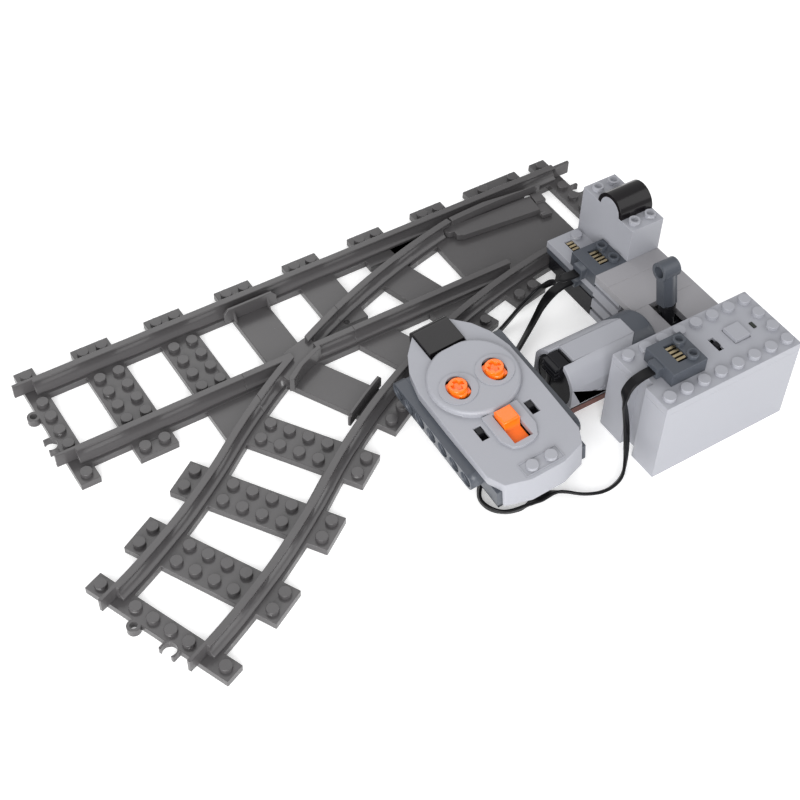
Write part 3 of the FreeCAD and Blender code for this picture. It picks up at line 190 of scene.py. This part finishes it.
def dust_film():
    """Pale dust laid in patches and specks by noise."""
    group, into, out = new_group(
        "Dust film",
        [("Colour", "NodeSocketColor", None), ("Dust", "NodeSocketColor", (0.5, 0.49, 0.47, 1)), ("Amount", "NodeSocketFloat", 0.06)],
        [("Colour", "NodeSocketColor"), ("Mask", "NodeSocketFloat")])
    tree = group
    coords = tree.nodes.new("ShaderNodeTexCoord").outputs["Object"]
    patchy = noise(tree, coords, 90.0, 6.0, 0.7)
    specks = noise(tree, coords, 900.0, 2.0, 0.5)
    mask = math_node(tree, "MULTIPLY", math_node(tree, "MULTIPLY", patchy, specks), into.outputs["Amount"])
    mix = tree.nodes.new("ShaderNodeMix")
    mix.data_type = "RGBA"
    tree.links.new(mask, mix.inputs[0])
    tree.links.new(into.outputs["Colour"], mix.inputs[6])
    tree.links.new(into.outputs["Dust"], mix.inputs[7])
    tree.links.new(mix.outputs[2], out.inputs["Colour"])
    tree.links.new(mask, out.inputs["Mask"])
    return group


GROUPS = {}
MATERIALS = {}


def shared(name):
    makers = {"moulded": moulded_surface, "dust": dust_film}
    if name not in GROUPS:
        GROUPS[name] = makers[name]()
    return GROUPS[name]


def plastic(name, colour, rough=0.28, haze=0.16, shade=0.10, grain=1500.0, bump=0.05, coat=0.0, dust=0.012, specular=0.5):
    """Moulded plastic finish of one colour."""
    if name in MATERIALS:
        return MATERIALS[name]
    mat = bpy.data.materials.new(name)
    mat.use_nodes = True
    tree = mat.node_tree
    shader = tree.nodes["Principled BSDF"]
    skin = tree.nodes.new("ShaderNodeGroup")
    skin.node_tree = shared("moulded")
    skin.inputs["Colour"].default_value = (*colour, 1)
    skin.inputs["Shade change"].default_value = shade
    skin.inputs["Roughness"].default_value = rough
    skin.inputs["Haze"].default_value = haze
    skin.inputs["Grain"].default_value = grain
    film = tree.nodes.new("ShaderNodeGroup")
    film.node_tree = shared("dust")
    film.inputs["Amount"].default_value = dust
    tree.links.new(skin.outputs["Colour"], film.inputs["Colour"])
    tree.links.new(film.outputs["Colour"], shader.inputs["Base Color"])
    tree.links.new(skin.outputs["Roughness"], shader.inputs["Roughness"])
    bump_node = tree.nodes.new("ShaderNodeBump")
    bump_node.inputs["Strength"].default_value = bump
    bump_node.inputs["Distance"].default_value = 0.0002
    tree.links.new(skin.outputs["Height"], bump_node.inputs["Height"])
    tree.links.new(bump_node.outputs[0], shader.inputs["Normal"])
    shader.inputs["Specular IOR Level"].default_value = specular
    shader.inputs["Coat Weight"].default_value = coat
    shader.inputs["Coat Roughness"].default_value = 0.12
    MATERIALS[name] = mat
    return mat


def metal(name, colour, rough=0.25, line_scale=900.0, bump=0.08):
    """Drawn or plated metal with fine lines along X."""
    if name in MATERIALS:
        return MATERIALS[name]
    mat = bpy.data.materials.new(name)
    mat.use_nodes = True
    tree = mat.node_tree
    shader = tree.nodes["Principled BSDF"]
    coords = tree.nodes.new("ShaderNodeTexCoord").outputs["Object"]
    stretch = tree.nodes.new("ShaderNodeMapping")
    stretch.inputs["Scale"].default_value = (0.06, 1.0, 1.0)
    tree.links.new(coords, stretch.inputs["Vector"])
    lines = noise(tree, stretch.outputs[0], line_scale, 4.0, 0.6)
    patches = noise(tree, coords, 200.0, 4.0, 0.6)
    tint = tree.nodes.new("ShaderNodeHueSaturation")
    tint.inputs["Color"].default_value = (*colour, 1)
    tree.links.new(math_node(tree, "ADD", 0.85, math_node(tree, "MULTIPLY", patches, 0.3)), tint.inputs["Value"])
    tree.links.new(tint.outputs[0], shader.inputs["Base Color"])
    tree.links.new(math_node(tree, "ADD", rough - 0.1, math_node(tree, "MULTIPLY", lines, 0.2)), shader.inputs["Roughness"])
    shader.inputs["Metallic"].default_value = 1.0
    bump_node = tree.nodes.new("ShaderNodeBump")
    bump_node.inputs["Strength"].default_value = bump
    bump_node.inputs["Distance"].default_value = 0.0001
    tree.links.new(lines, bump_node.inputs["Height"])
    tree.links.new(bump_node.outputs[0], shader.inputs["Normal"])
    MATERIALS[name] = mat
    return mat


def finish(name):
    """The named finish of this object's pieces."""
    colours, _, _ = settings()
    if name == "track":
        return plastic("Track plastic", colours.track[:], rough=0.24, haze=0.12, shade=0.14, bump=0.03, dust=0.01)
    if name == "light":
        return plastic("Light grey plastic", colours.light[:], rough=0.36, haze=0.05, shade=0.05, bump=0.012, dust=0.0, specular=0.4)
    if name == "tile":
        return plastic("Tile plastic", colours.tile[:], rough=0.3, haze=0.06, shade=0.05, bump=0.012, dust=0.0)
    if name == "dark":
        return plastic("Dark grey plastic", colours.dark[:], rough=0.3, haze=0.08, shade=0.08, bump=0.02, dust=0.0, specular=0.35)
    if name == "black":
        return plastic("Black plastic", colours.black[:], rough=0.2, haze=0.1, shade=0.3, bump=0.03, dust=0.0, specular=0.16)
    if name == "window":
        return plastic("Infrared window plastic", (0.006, 0.005, 0.006), rough=0.14, haze=0.06, shade=0.2, bump=0.02, dust=0.0, specular=0.3)
    if name == "brown":
        return plastic("Reddish brown plastic", colours.brown[:], rough=0.24, haze=0.16, shade=0.12, bump=0.04)
    if name == "orange":
        return plastic("Orange plastic", colours.orange[:], rough=0.2, haze=0.1, shade=0.06, bump=0.03, dust=0.02)
    if name == "cord":
        return plastic("Ribbon sheath", (0.007, 0.007, 0.008), rough=0.3, haze=0.1, shade=0.3, grain=2600.0, bump=0.04, dust=0.0, specular=0.14)
    if name == "gear":
        return plastic("Acetal gear", (0.72, 0.70, 0.64), rough=0.4, shade=0.06)
    if name == "board":
        return plastic("Circuit board", (0.015, 0.12, 0.045), rough=0.35, shade=0.25, grain=3000.0, bump=0.12)
    if name == "cell":
        return plastic("Cell jacket", (0.03, 0.10, 0.05), rough=0.3, shade=0.1)
    if name == "lamp":
        return plastic("Lamp lens", (0.012, 0.016, 0.012), rough=0.12, shade=0.1)
    # The contact gold is darkened far below real plating: painted shade of the dark plug slot.
    if name == "gold":
        return metal("Plated contacts, painted shade", (0.46, 0.38, 0.24), rough=0.3)
    if name == "steel":
        return metal("Spring steel", (0.62, 0.62, 0.64), rough=0.28)
    raise ValueError("no finish named " + name)


# ------------------------------------------------------------------ modelling helpers

def keep(mesh, name, material, body, replaces=(), smooth_angle=50.0):
    """Object from a finished mesh, with its finish, riding on its body."""
    mesh.materials.clear()
    mesh.materials.append(material)
    for face in mesh.polygons:
        face.use_smooth = True
        face.material_index = 0
    mesh.set_sharp_from_angle(angle=math.radians(smooth_angle))
    piece = bpy.data.objects.new(name, mesh)
    bpy.context.scene.collection.objects.link(piece)
    even = piece.modifiers.new("even_shading", "WEIGHTED_NORMAL")
    even.keep_sharp = True
    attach(piece, body)
    if replaces:
        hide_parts(*replaces)
    return piece


def body_of(node):
    return NODES[node]["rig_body"]


def merged_copy(node):
    """Clean copy of a CAD node's mesh: doubles merged and flat faces made whole."""
    bm = bmesh.new()
    bm.from_mesh(NODES[node].data)
    bmesh.ops.remove_doubles(bm, verts=bm.verts, dist=0.002 * MM)
    bmesh.ops.dissolve_limit(
        bm, angle_limit=math.radians(0.4), use_dissolve_boundaries=False, verts=bm.verts, edges=bm.edges)
    bm.normal_update()
    return bm


def soften(bm, width, lowest_angle=30.0, segments=2, shortest=0.25 * MM):
    """Rounds the outer corners of a moulded piece."""
    edges = []
    for edge in bm.edges:
        if len(edge.link_faces) != 2 or edge.calc_length() < shortest:
            continue
        if edge.is_convex and edge.calc_face_angle() > math.radians(lowest_angle):
            edges.append(edge)
    if edges:
        bmesh.ops.bevel(
            bm, geom=edges, offset=width, offset_type="OFFSET", segments=segments, profile=0.5,
            affect="EDGES", material=-1, clamp_overlap=False, loop_slide=True)


def moulded_piece(node, material, width=None):
    """A CAD node's shape with rounded edges, standing for that node."""
    _, sizes, _ = settings()
    bm = merged_copy(node)
    soften(bm, sizes.edge if width is None else width)
    mesh = bpy.data.meshes.new(node + "_skin")
    bm.to_mesh(mesh)
    bm.free()
    return keep(mesh, node + "_skin", material, body_of(node), (node,))


def paint(node, material):
    """Gives a CAD node its finish and leaves its shape."""
    data = NODES[node].data
    data.materials.clear()
    data.materials.append(material)


def disc(bm, radius, centre, segments=48):
    """Flat loop of vertices; returns its edges."""
    made = bmesh.ops.create_circle(
        bm, cap_ends=False, segments=segments, radius=radius, matrix=Matrix.Translation(centre))["verts"]
    return {edge for vert in made for edge in vert.link_edges}


def rounded_bar(bm, centre, size, radius):
    """Block with its upright corners and rims rounded."""
    made = bmesh.ops.create_cube(bm, size=1.0, matrix=Matrix.Translation(centre) @ Matrix.Diagonal((*size, 1)))["verts"]
    edges = list({edge for vert in made for edge in vert.link_edges})
    bmesh.ops.bevel(bm, geom=edges, offset=radius, offset_type="OFFSET", segments=3, profile=0.5, affect="EDGES", material=-1)


def hull_of_rods(bm, rods, low, high, rim):
    """Solid around upright rods given as (x, y, radius), with a rounded upper rim."""
    made = []
    for x, y, radius in rods:
        made += bmesh.ops.create_cone(
            bm, cap_ends=True, segments=40, radius1=radius, radius2=radius, depth=high - low,
            matrix=Matrix.Translation((x, y, (low + high) / 2)))["verts"]
    bmesh.ops.delete(bm, geom=list({face for vert in made for face in vert.link_faces}), context="FACES_ONLY")
    bmesh.ops.convex_hull(bm, input=made, use_existing_faces=False)
    loose = [vert for vert in bm.verts if not vert.link_faces]
    bmesh.ops.delete(bm, geom=loose, context="VERTS")
    loose = [edge for edge in bm.edges if not edge.link_faces]
    bmesh.ops.delete(bm, geom=loose, context="EDGES")
    bmesh.ops.dissolve_limit(bm, angle_limit=math.radians(1), verts=bm.verts, edges=bm.edges)
    rims = [e for e in bm.edges if min(v.co.z for v in e.verts) > high - 0.001 and len(e.link_faces) == 2]
    bmesh.ops.bevel(bm, geom=rims, offset=rim, offset_type="OFFSET", segments=4, profile=0.5, affect="EDGES", material=-1)


def added_piece(name, bm, place, material, node, smooth_angle=50.0):
    """New piece drawn in millimetres in a local frame, riding with a node."""
    bmesh.ops.transform(bm, matrix=place @ Matrix.Diagonal((MM, MM, MM, 1)), verts=bm.verts)
    bmesh.ops.recalc_face_normals(bm, faces=bm.faces)
    mesh = bpy.data.meshes.new(name)
    bm.to_mesh(mesh)
    bm.free()
    piece = keep(mesh, name, material, body_of(node), (), smooth_angle)
    return piece


def joint_named(name):
    for joint in frame["record"]["behaviour"]["joints"]:
        if joint["name"] == name:
            return joint
    raise ValueError("no joint " + name)


def remote_place():
    """Frame of the remote: X across, Y towards its window, origin between the first pin holes."""
    left, right = joint_named("remote_rock_left"), joint_named("remote_rock_right")
    across = Vector(left["axis"]).normalized()
    ahead = -Vector(joint_named("remote_channel_slide")["axis"]).normalized()
    up = across.cross(ahead).normalized()
    pivots = (Vector(left["pos_m"]) + Vector(right["pos_m"])) / 2
    turn = Matrix((across, ahead, up)).transposed()
    return Matrix.Translation(pivots + ahead * 18.5 * MM - up * 7.0 * MM) @ turn.to_4x4()


# ------------------------------------------------------------------ leads

LEAD_BATTERY = [
    (213.4, -44.5, 11.2), (206.5, -44.5, 11.2), (198.5, -46.6, 8.2), (189.5, -51.6, 4.2), (180.0, -57.4, 3.0),
    (170.0, -63.6, 2.5), (160.6, -71.6, 1.2), (151.8, -81.6, 1.15), (143.6, -92.2, 1.2), (134.6, -101.4, 1.15),
    (125.6, -107.4, 2.4), (120.6, -114.6, 2.5), (124.4, -122.6, 2.4), (133.4, -125.0, 2.2), (142.4, -123.0, 1.2),
    (149.6, -125.4, 2.4), (155.6, -131.6, 2.5), (163.6, -134.8, 2.5), (172.0, -133.2, 2.6), (178.4, -127.6, 3.0),
    (181.0, -123.4, 10.0), (181.0, -121.4, 18.0), (179.6, -120.8, 25.5), (177.7, -121.0, 31.6), (178.0, -121.0, 37.4),
    (182.4, -121.0, 41.5), (189.0, -121.0, 41.5),
]

LEAD_MOTOR = [
    (170.2, -88.0, 20.2), (170.2, -88.0, 14.6), (169.4, -85.4, 8.8), (166.0, -80.4, 4.4), (161.8, -73.0, 3.7),
    (160.4, -64.4, 3.65), (162.6, -56.2, 3.6), (168.6, -50.2, 2.6), (175.4, -47.0, 2.2), (182.4, -44.4, 3.0),
    (190.6, -41.8, 5.6), (198.4, -41.2, 9.6), (201.2, -43.2, 13.8), (204.2, -46.0, 17.4), (208.4, -48.0, 18.8),
    (213.0, -48.0, 18.8),
]


LEAN = Vector((0.369, 0.551, -0.748))
FLAT = None

# How far each point's width turns from the broadside of LEAN, in degrees; FLAT lies level.
TURN_BATTERY = [FLAT, FLAT, 60, 68, 74, 78, FLAT, FLAT, FLAT, FLAT, 78, 80, 80, 72, FLAT, 84, 88, 88, 88, 76, 60, 55, 55, 60, FLAT, FLAT, FLAT]
TURN_MOTOR = [60, 60, 66, 72, 76, 76, 76, 76, 76, 76, 76, 70, 66, 60, FLAT, FLAT]


def ribbon_outline(width, thick):
    """Four round cores side by side with shallow grooves between them."""
    cores = 4
    r = thick / 2
    pitch = (width - thick) / (cores - 1)
    upper = []
    for k in range(cores):
        x = -(width - thick) / 2 + k * pitch
        upper.append((x, r))
        if k < cores - 1:
            upper.append((x + pitch / 2, r * 0.72))
    rounded = [((width - thick) / 2 + r * math.sin(a), r * math.cos(a)) for a in (0.8, 1.5708, 2.3416)]
    lower = [(-x, -y) for x, y in upper]
    return upper + rounded + lower + [(-x, -y) for x, y in rounded]


def widths(line, turns):
    """Width direction at every point of a line, blended between the turns of its route."""
    wanted = []
    count = len(line)
    for k, turn in enumerate(turns):
        i = min(max(round(k / (len(turns) - 1) * (count - 1)), 1), count - 2)
        tangent = (line[i + 1] - line[i - 1]).normalized()
        if turn is FLAT:
            level = tangent.cross(Vector((0, 0, 1)))
            if abs(tangent.z) > 0.9:
                level = Vector((0, 1, 0))
            wanted.append(level.normalized())
        else:
            side = tangent.cross(LEAN).normalized()
            wanted.append(Matrix.Rotation(math.radians(turn), 3, tangent) @ side)
        if k and wanted[k].dot(wanted[k - 1]) < 0:
            wanted[k].negate()
    found = []
    for i in range(count):
        place = i / (count - 1) * (len(turns) - 1)
        k = min(int(place), len(turns) - 2)
        found.append(wanted[k].lerp(wanted[k + 1], place - k))
    return found


def stations(line, turns):
    """Frames along a line: X across the ribbon, Y through it, Z along it."""
    frames = []
    for i, (place, wide) in enumerate(zip(line, widths(line, turns))):
        along = (line[min(i + 1, len(line) - 1)] - line[max(i - 1, 0)]).normalized()
        across = (wide - along * wide.dot(along)).normalized()
        turn = Matrix((across, along.cross(across), along)).transposed()
        frames.append(Matrix.Translation(place) @ turn.to_4x4())
    return frames


def route(points, name):
    """The route's curve through its points."""
    data = bpy.data.curves.new(name, "CURVE")
    data.dimensions = "3D"
    line = data.splines.new("NURBS")
    line.points.add(len(points) - 1)
    for point, place in zip(line.points, points):
        point.co = (*(Vector(place) * MM), 1)
    line.order_u = 3
    line.use_endpoint_u = True
    line.resolution_u = 8
    return data


def line_of(data):
    """The points that a route's spline gives."""
    probe = bpy.data.objects.new("probe", data)
    bpy.context.scene.collection.objects.link(probe)
    bpy.context.view_layer.update()
    mesh = bpy.data.meshes.new_from_object(probe.evaluated_get(bpy.context.evaluated_depsgraph_get()))
    points = [v.co.copy() for v in mesh.vertices]
    bpy.data.objects.remove(probe)
    bpy.data.meshes.remove(mesh)
    return points


def ribbon_lead(name, node, points, turns):
    """Flat four-core lead swept along its route."""
    _, sizes, _ = settings()
    line = line_of(route(points, name + "_route"))
    frames = stations(line, turns)
    bm = bmesh.new()
    ring = [bm.verts.new((x, y, 0)) for x, y in ribbon_outline(sizes.ribbon_width, sizes.ribbon_thick)]
    edges = [bm.edges.new((a, b)) for a, b in zip(ring, ring[1:] + ring[:1])]
    bmesh.ops.transform(bm, matrix=frames[0], verts=ring)
    bmesh.ops.edgeloop_fill(bm, edges=edges)
    for before, after in zip(frames, frames[1:]):
        grown = bmesh.ops.extrude_edge_only(bm, edges=edges)["geom"]
        edges = [g for g in grown if isinstance(g, bmesh.types.BMEdge) and len(g.link_faces) == 1]
        verts = [g for g in grown if isinstance(g, bmesh.types.BMVert)]
        bmesh.ops.transform(bm, matrix=after @ before.inverted(), verts=verts)
    bmesh.ops.edgeloop_fill(bm, edges=edges)
    bmesh.ops.recalc_face_normals(bm, faces=bm.faces)
    mesh = bpy.data.meshes.new(name)
    bm.to_mesh(mesh)
    bm.free()
    piece = keep(mesh, name, finish("cord"), body_of(node), (node,), 60.0)
    return piece


# ------------------------------------------------------------------ operators

class TurnoutOperator:
    """Shared settings of the build steps."""

    bl_options = {"REGISTER", "UNDO"}


class BuildStage(TurnoutOperator, bpy.types.Operator):
    """Floor, soft lights and the camera"""

    bl_idname = "turnout.stage"
    bl_label = "Studio stage"

    def execute(self, context):
        colours, _, stage = settings()
        bm = bmesh.new()
        bmesh.ops.create_grid(bm, x_segments=1, y_segments=1, size=3.0)
        mesh = bpy.data.meshes.new("floor")
        bm.to_mesh(mesh)
        bm.free()
        mat = bpy.data.materials.new("Studio floor")
        mat.use_nodes = True
        shader = mat.node_tree.nodes["Principled BSDF"]
        shader.inputs["Base Color"].default_value = (*colours.floor[:], 1)
        shader.inputs["Roughness"].default_value = 0.9
        shader.inputs["Emission Color"].default_value = (1, 1, 1, 1)
        shader.inputs["Emission Strength"].default_value = 0.35
        mesh.materials.append(mat)
        floor = bpy.data.objects.new("floor", mesh)
        floor.location = (0.12, 0.0, -0.0001)
        context.scene.collection.objects.link(floor)
        world = bpy.data.worlds.new("Studio")
        world.use_nodes = True
        back = world.node_tree.nodes["Background"]
        back.inputs["Color"].default_value = (1.0, 1.0, 1.0, 1)
        back.inputs["Strength"].default_value = 0.62
        context.scene.world = world
        middle = Vector((0.12, -0.04, 0.0))
        for name, place, size, power in (
                ("key_front", (-0.50, -0.72, 0.40), 0.8, 13.0),
                ("fill_right", (0.85, -0.45, 0.6), 0.7, 2.0),
                ("back_top", (0.25, 0.75, 0.9), 0.8, 3.0)):
            data = bpy.data.lights.new(name, "AREA")
            data.shape = "SQUARE"
            data.size = size
            data.energy = power
            lamp = bpy.data.objects.new(name, data)
            lamp.location = place
            lamp.rotation_euler = (middle - Vector(place)).to_track_quat("-Z", "Y").to_euler()
            context.scene.collection.objects.link(lamp)
        data = bpy.data.cameras.new("camera")
        data.lens = stage.lens
        data.sensor_width = 36.0
        data.clip_start = 0.01
        camera = bpy.data.objects.new("camera", data)
        eye = Vector(stage.eye)
        level = (Vector(stage.aim) - eye).to_track_quat("-Z", "Y").to_matrix()
        turn = level @ Matrix.Rotation(stage.roll, 3, "Z")
        camera.matrix_world = Matrix.Translation(eye) @ turn.to_4x4()
        context.scene.collection.objects.link(camera)
        context.scene.camera = camera
        context.scene.view_settings.view_transform = "Standard"
        return {"FINISHED"}


class BuildLeads(TurnoutOperator, bpy.types.Operator):
    """The two four-core ribbon leads"""

    bl_idname = "turnout.leads"
    bl_label = "Ribbon leads"

    def execute(self, context):
        ribbon_lead("ribbon_battery", "lead_battery", LEAD_BATTERY, TURN_BATTERY)
        ribbon_lead("ribbon_motor", "lead_motor", LEAD_MOTOR, TURN_MOTOR)
        return {"FINISHED"}


class BuildTrack(TurnoutOperator, bpy.types.Operator):
    """Sleeper beds, rails, crossing, check rails and tongue"""

    bl_idname = "turnout.track"
    bl_label = "Track"

    def execute(self, context):
        grey = finish("track")
        for node in ("track_bed_main", "track_bed_branch", "track_bed_toe"):
            moulded_piece(node, grey, 0.22 * MM)
        for node in ("stock_rail_far", "stock_rail_near", "heel_rail_straight", "heel_rail_branch", "crossing_frog",
                     "closure_rail_straight", "closure_rail_curved", "check_rail_far", "check_rail_near"):
            moulded_piece(node, grey, 0.2 * MM)
        moulded_piece("switch_tongue", grey, 0.2 * MM)
        moulded_piece("slide_bar", finish("black"))
        return {"FINISHED"}


class BuildDrive(TurnoutOperator, bpy.types.Operator):
    """Brick-built point drive with its hand lever and shaft"""

    bl_idname = "turnout.drive"
    bl_label = "Point drive"

    def execute(self, context):
        for node, look in (("base_plate", "brown"), ("lower_plate", "black"), ("ribbed_wall", "light"), ("side_wall", "black"),
                           ("axle_pillar", "black"), ("roof_strip", "tile"), ("roof_tile", "tile"), ("slot_tiles", "tile"),
                           ("receiver_stand", "black"), ("hand_lever", "dark"), ("lever_socket", "black"), ("drive_axle", "black"),
                           ("crank_arm", "black")):
            moulded_piece(node, finish(look))
        paint("output_gear", finish("gear"))
        return {"FINISHED"}


class BuildMotor(TurnoutOperator, bpy.types.Operator):
    """Motor housing and what it holds"""

    bl_idname = "turnout.motor"
    bl_label = "Motor"

    def execute(self, context):
        for node, look in (("motor_shell", "light"), ("motor_cowl", "dark"), ("motor_underside", "black"), ("motor_rear_cap", "black")):
            moulded_piece(node, finish(look), 0.3 * MM)
        paint("motor_can", finish("steel"))
        paint("motor_armature", finish("steel"))
        return {"FINISHED"}


class BuildReceiver(TurnoutOperator, bpy.types.Operator):
    """Infrared receiver and the plug on it"""

    bl_idname = "turnout.receiver"
    bl_label = "Receiver"

    def execute(self, context):
        for node, look in (("receiver_base", "dark"), ("receiver_shell", "light"), ("receiver_window", "window"), ("plug_receiver", "dark")):
            moulded_piece(node, finish(look))
        paint("receiver_board", finish("board"))
        paint("contact_strips", finish("gold"))
        return {"FINISHED"}


class BuildBatteryBox(TurnoutOperator, bpy.types.Operator):
    """Battery box, its controls and the plug on it"""

    bl_idname = "turnout.battery"
    bl_label = "Battery box"

    def execute(self, context):
        for node, look in (("battery_case", "light"), ("battery_lid", "light"), ("power_button", "light"), ("polarity_slider", "black"),
                           ("plug_battery", "dark")):
            moulded_piece(node, finish(look))
        paint("indicator_lamp", finish("lamp"))
        paint("battery_cells", finish("cell"))
        paint("battery_springs", finish("steel"))
        return {"FINISHED"}


class BuildRemote(TurnoutOperator, bpy.types.Operator):
    """Handheld remote with its levers, slider and switches"""

    bl_idname = "turnout.remote"
    bl_label = "Remote"

    def execute(self, context):
        for node, look in (("remote_base", "dark"), ("remote_shell", "light"), ("remote_window", "window"), ("remote_lever_left", "orange"),
                           ("remote_lever_right", "orange"), ("remote_channel_slider", "orange"), ("remote_switch_left", "black"),
                           ("remote_switch_right", "black")):
            moulded_piece(node, finish(look), 0.25 * MM)
        paint("remote_board", finish("black"))
        place = remote_place()
        top = DIAL_TOP
        for x, side in ((-8.0, "left"), (8.0, "right")):
            bm = bmesh.new()
            hull_of_rods(bm, ((x, -17.6, 3.5), (x, -20.7, 2.6)), top - 1.0, top + 0.7, 0.6)
            added_piece("lever_pad_" + side, bm, place, finish("orange"), "remote_lever_" + side)
            bm = bmesh.new()
            outer = disc(bm, 7.5, (x, -18.9, top + 0.22), 56)
            inner = disc(bm, 4.9, (x, -18.7, top + 0.22), 56)
            bridge = bmesh.ops.bridge_loops(bm, edges=list(outer | inner))["faces"]
            for vert in {v for e in inner for v in e.verts}:
                vert.co.y = -18.7 + (vert.co.y + 18.7) * 1.22
                vert.co.x = x + (vert.co.x - x) * 0.89
            wall = bmesh.ops.extrude_face_region(bm, geom=bridge)["geom"]
            bmesh.ops.translate(bm, verts=[g for g in wall if isinstance(g, bmesh.types.BMVert)], vec=(0, 0, -0.5))
            added_piece("lever_surround_" + side, bm, place, finish("light"), "remote_shell")
        bm = bmesh.new()
        panel = bmesh.ops.create_grid(
            bm, x_segments=1, y_segments=1, size=1.0,
            matrix=Matrix.Translation((0, -61.6, 8.62)) @ Matrix.Diagonal((8.2, 3.2, 1, 1)))["verts"][0].link_faces[:]
        bmesh.ops.inset_region(bm, faces=panel, thickness=0.35, use_even_offset=True, use_boundary=True)
        bmesh.ops.delete(bm, geom=panel, context="FACES_ONLY")
        wall = bmesh.ops.extrude_face_region(bm, geom=bm.faces[:])["geom"]
        bmesh.ops.translate(bm, verts=[g for g in wall if isinstance(g, bmesh.types.BMVert)], vec=(0, 0, -0.4))
        added_piece("stud_panel_rim", bm, place, finish("light"), "remote_shell")
        paint("remote_cells", finish("cell"))
        return {"FINISHED"}


class TurnoutPanel(bpy.types.Panel):
    """Build steps of the turnout"""

    bl_idname = "VIEW3D_PT_turnout"
    bl_label = "Turnout"
    bl_space_type = "VIEW_3D"
    bl_region_type = "UI"
    bl_category = "Turnout"

    def draw(self, context):
        for step in STEPS:
            self.layout.operator(step.bl_idname)


STEPS = (BuildStage, BuildTrack, BuildDrive, BuildMotor, BuildReceiver, BuildBatteryBox, BuildRemote, BuildLeads)
CLASSES = (TurnoutColours, TurnoutSizes, TurnoutStage) + STEPS + (TurnoutPanel,)


def register():
    for item in CLASSES:
        bpy.utils.register_class(item)
    bpy.types.Scene.turnout_colours = bpy.props.PointerProperty(type=TurnoutColours)
    bpy.types.Scene.turnout_sizes = bpy.props.PointerProperty(type=TurnoutSizes)
    bpy.types.Scene.turnout_stage = bpy.props.PointerProperty(type=TurnoutStage)


def unregister():
    del bpy.types.Scene.turnout_colours
    del bpy.types.Scene.turnout_sizes
    del bpy.types.Scene.turnout_stage
    for item in reversed(CLASSES):
        bpy.utils.unregister_class(item)


def main():
    register()
    bpy.ops.turnout.stage()
    bpy.ops.turnout.track()
    bpy.ops.turnout.drive()
    bpy.ops.turnout.motor()
    bpy.ops.turnout.receiver()
    bpy.ops.turnout.battery()
    bpy.ops.turnout.remote()
    bpy.ops.turnout.leads()


if __name__ == "__main__":
    main()
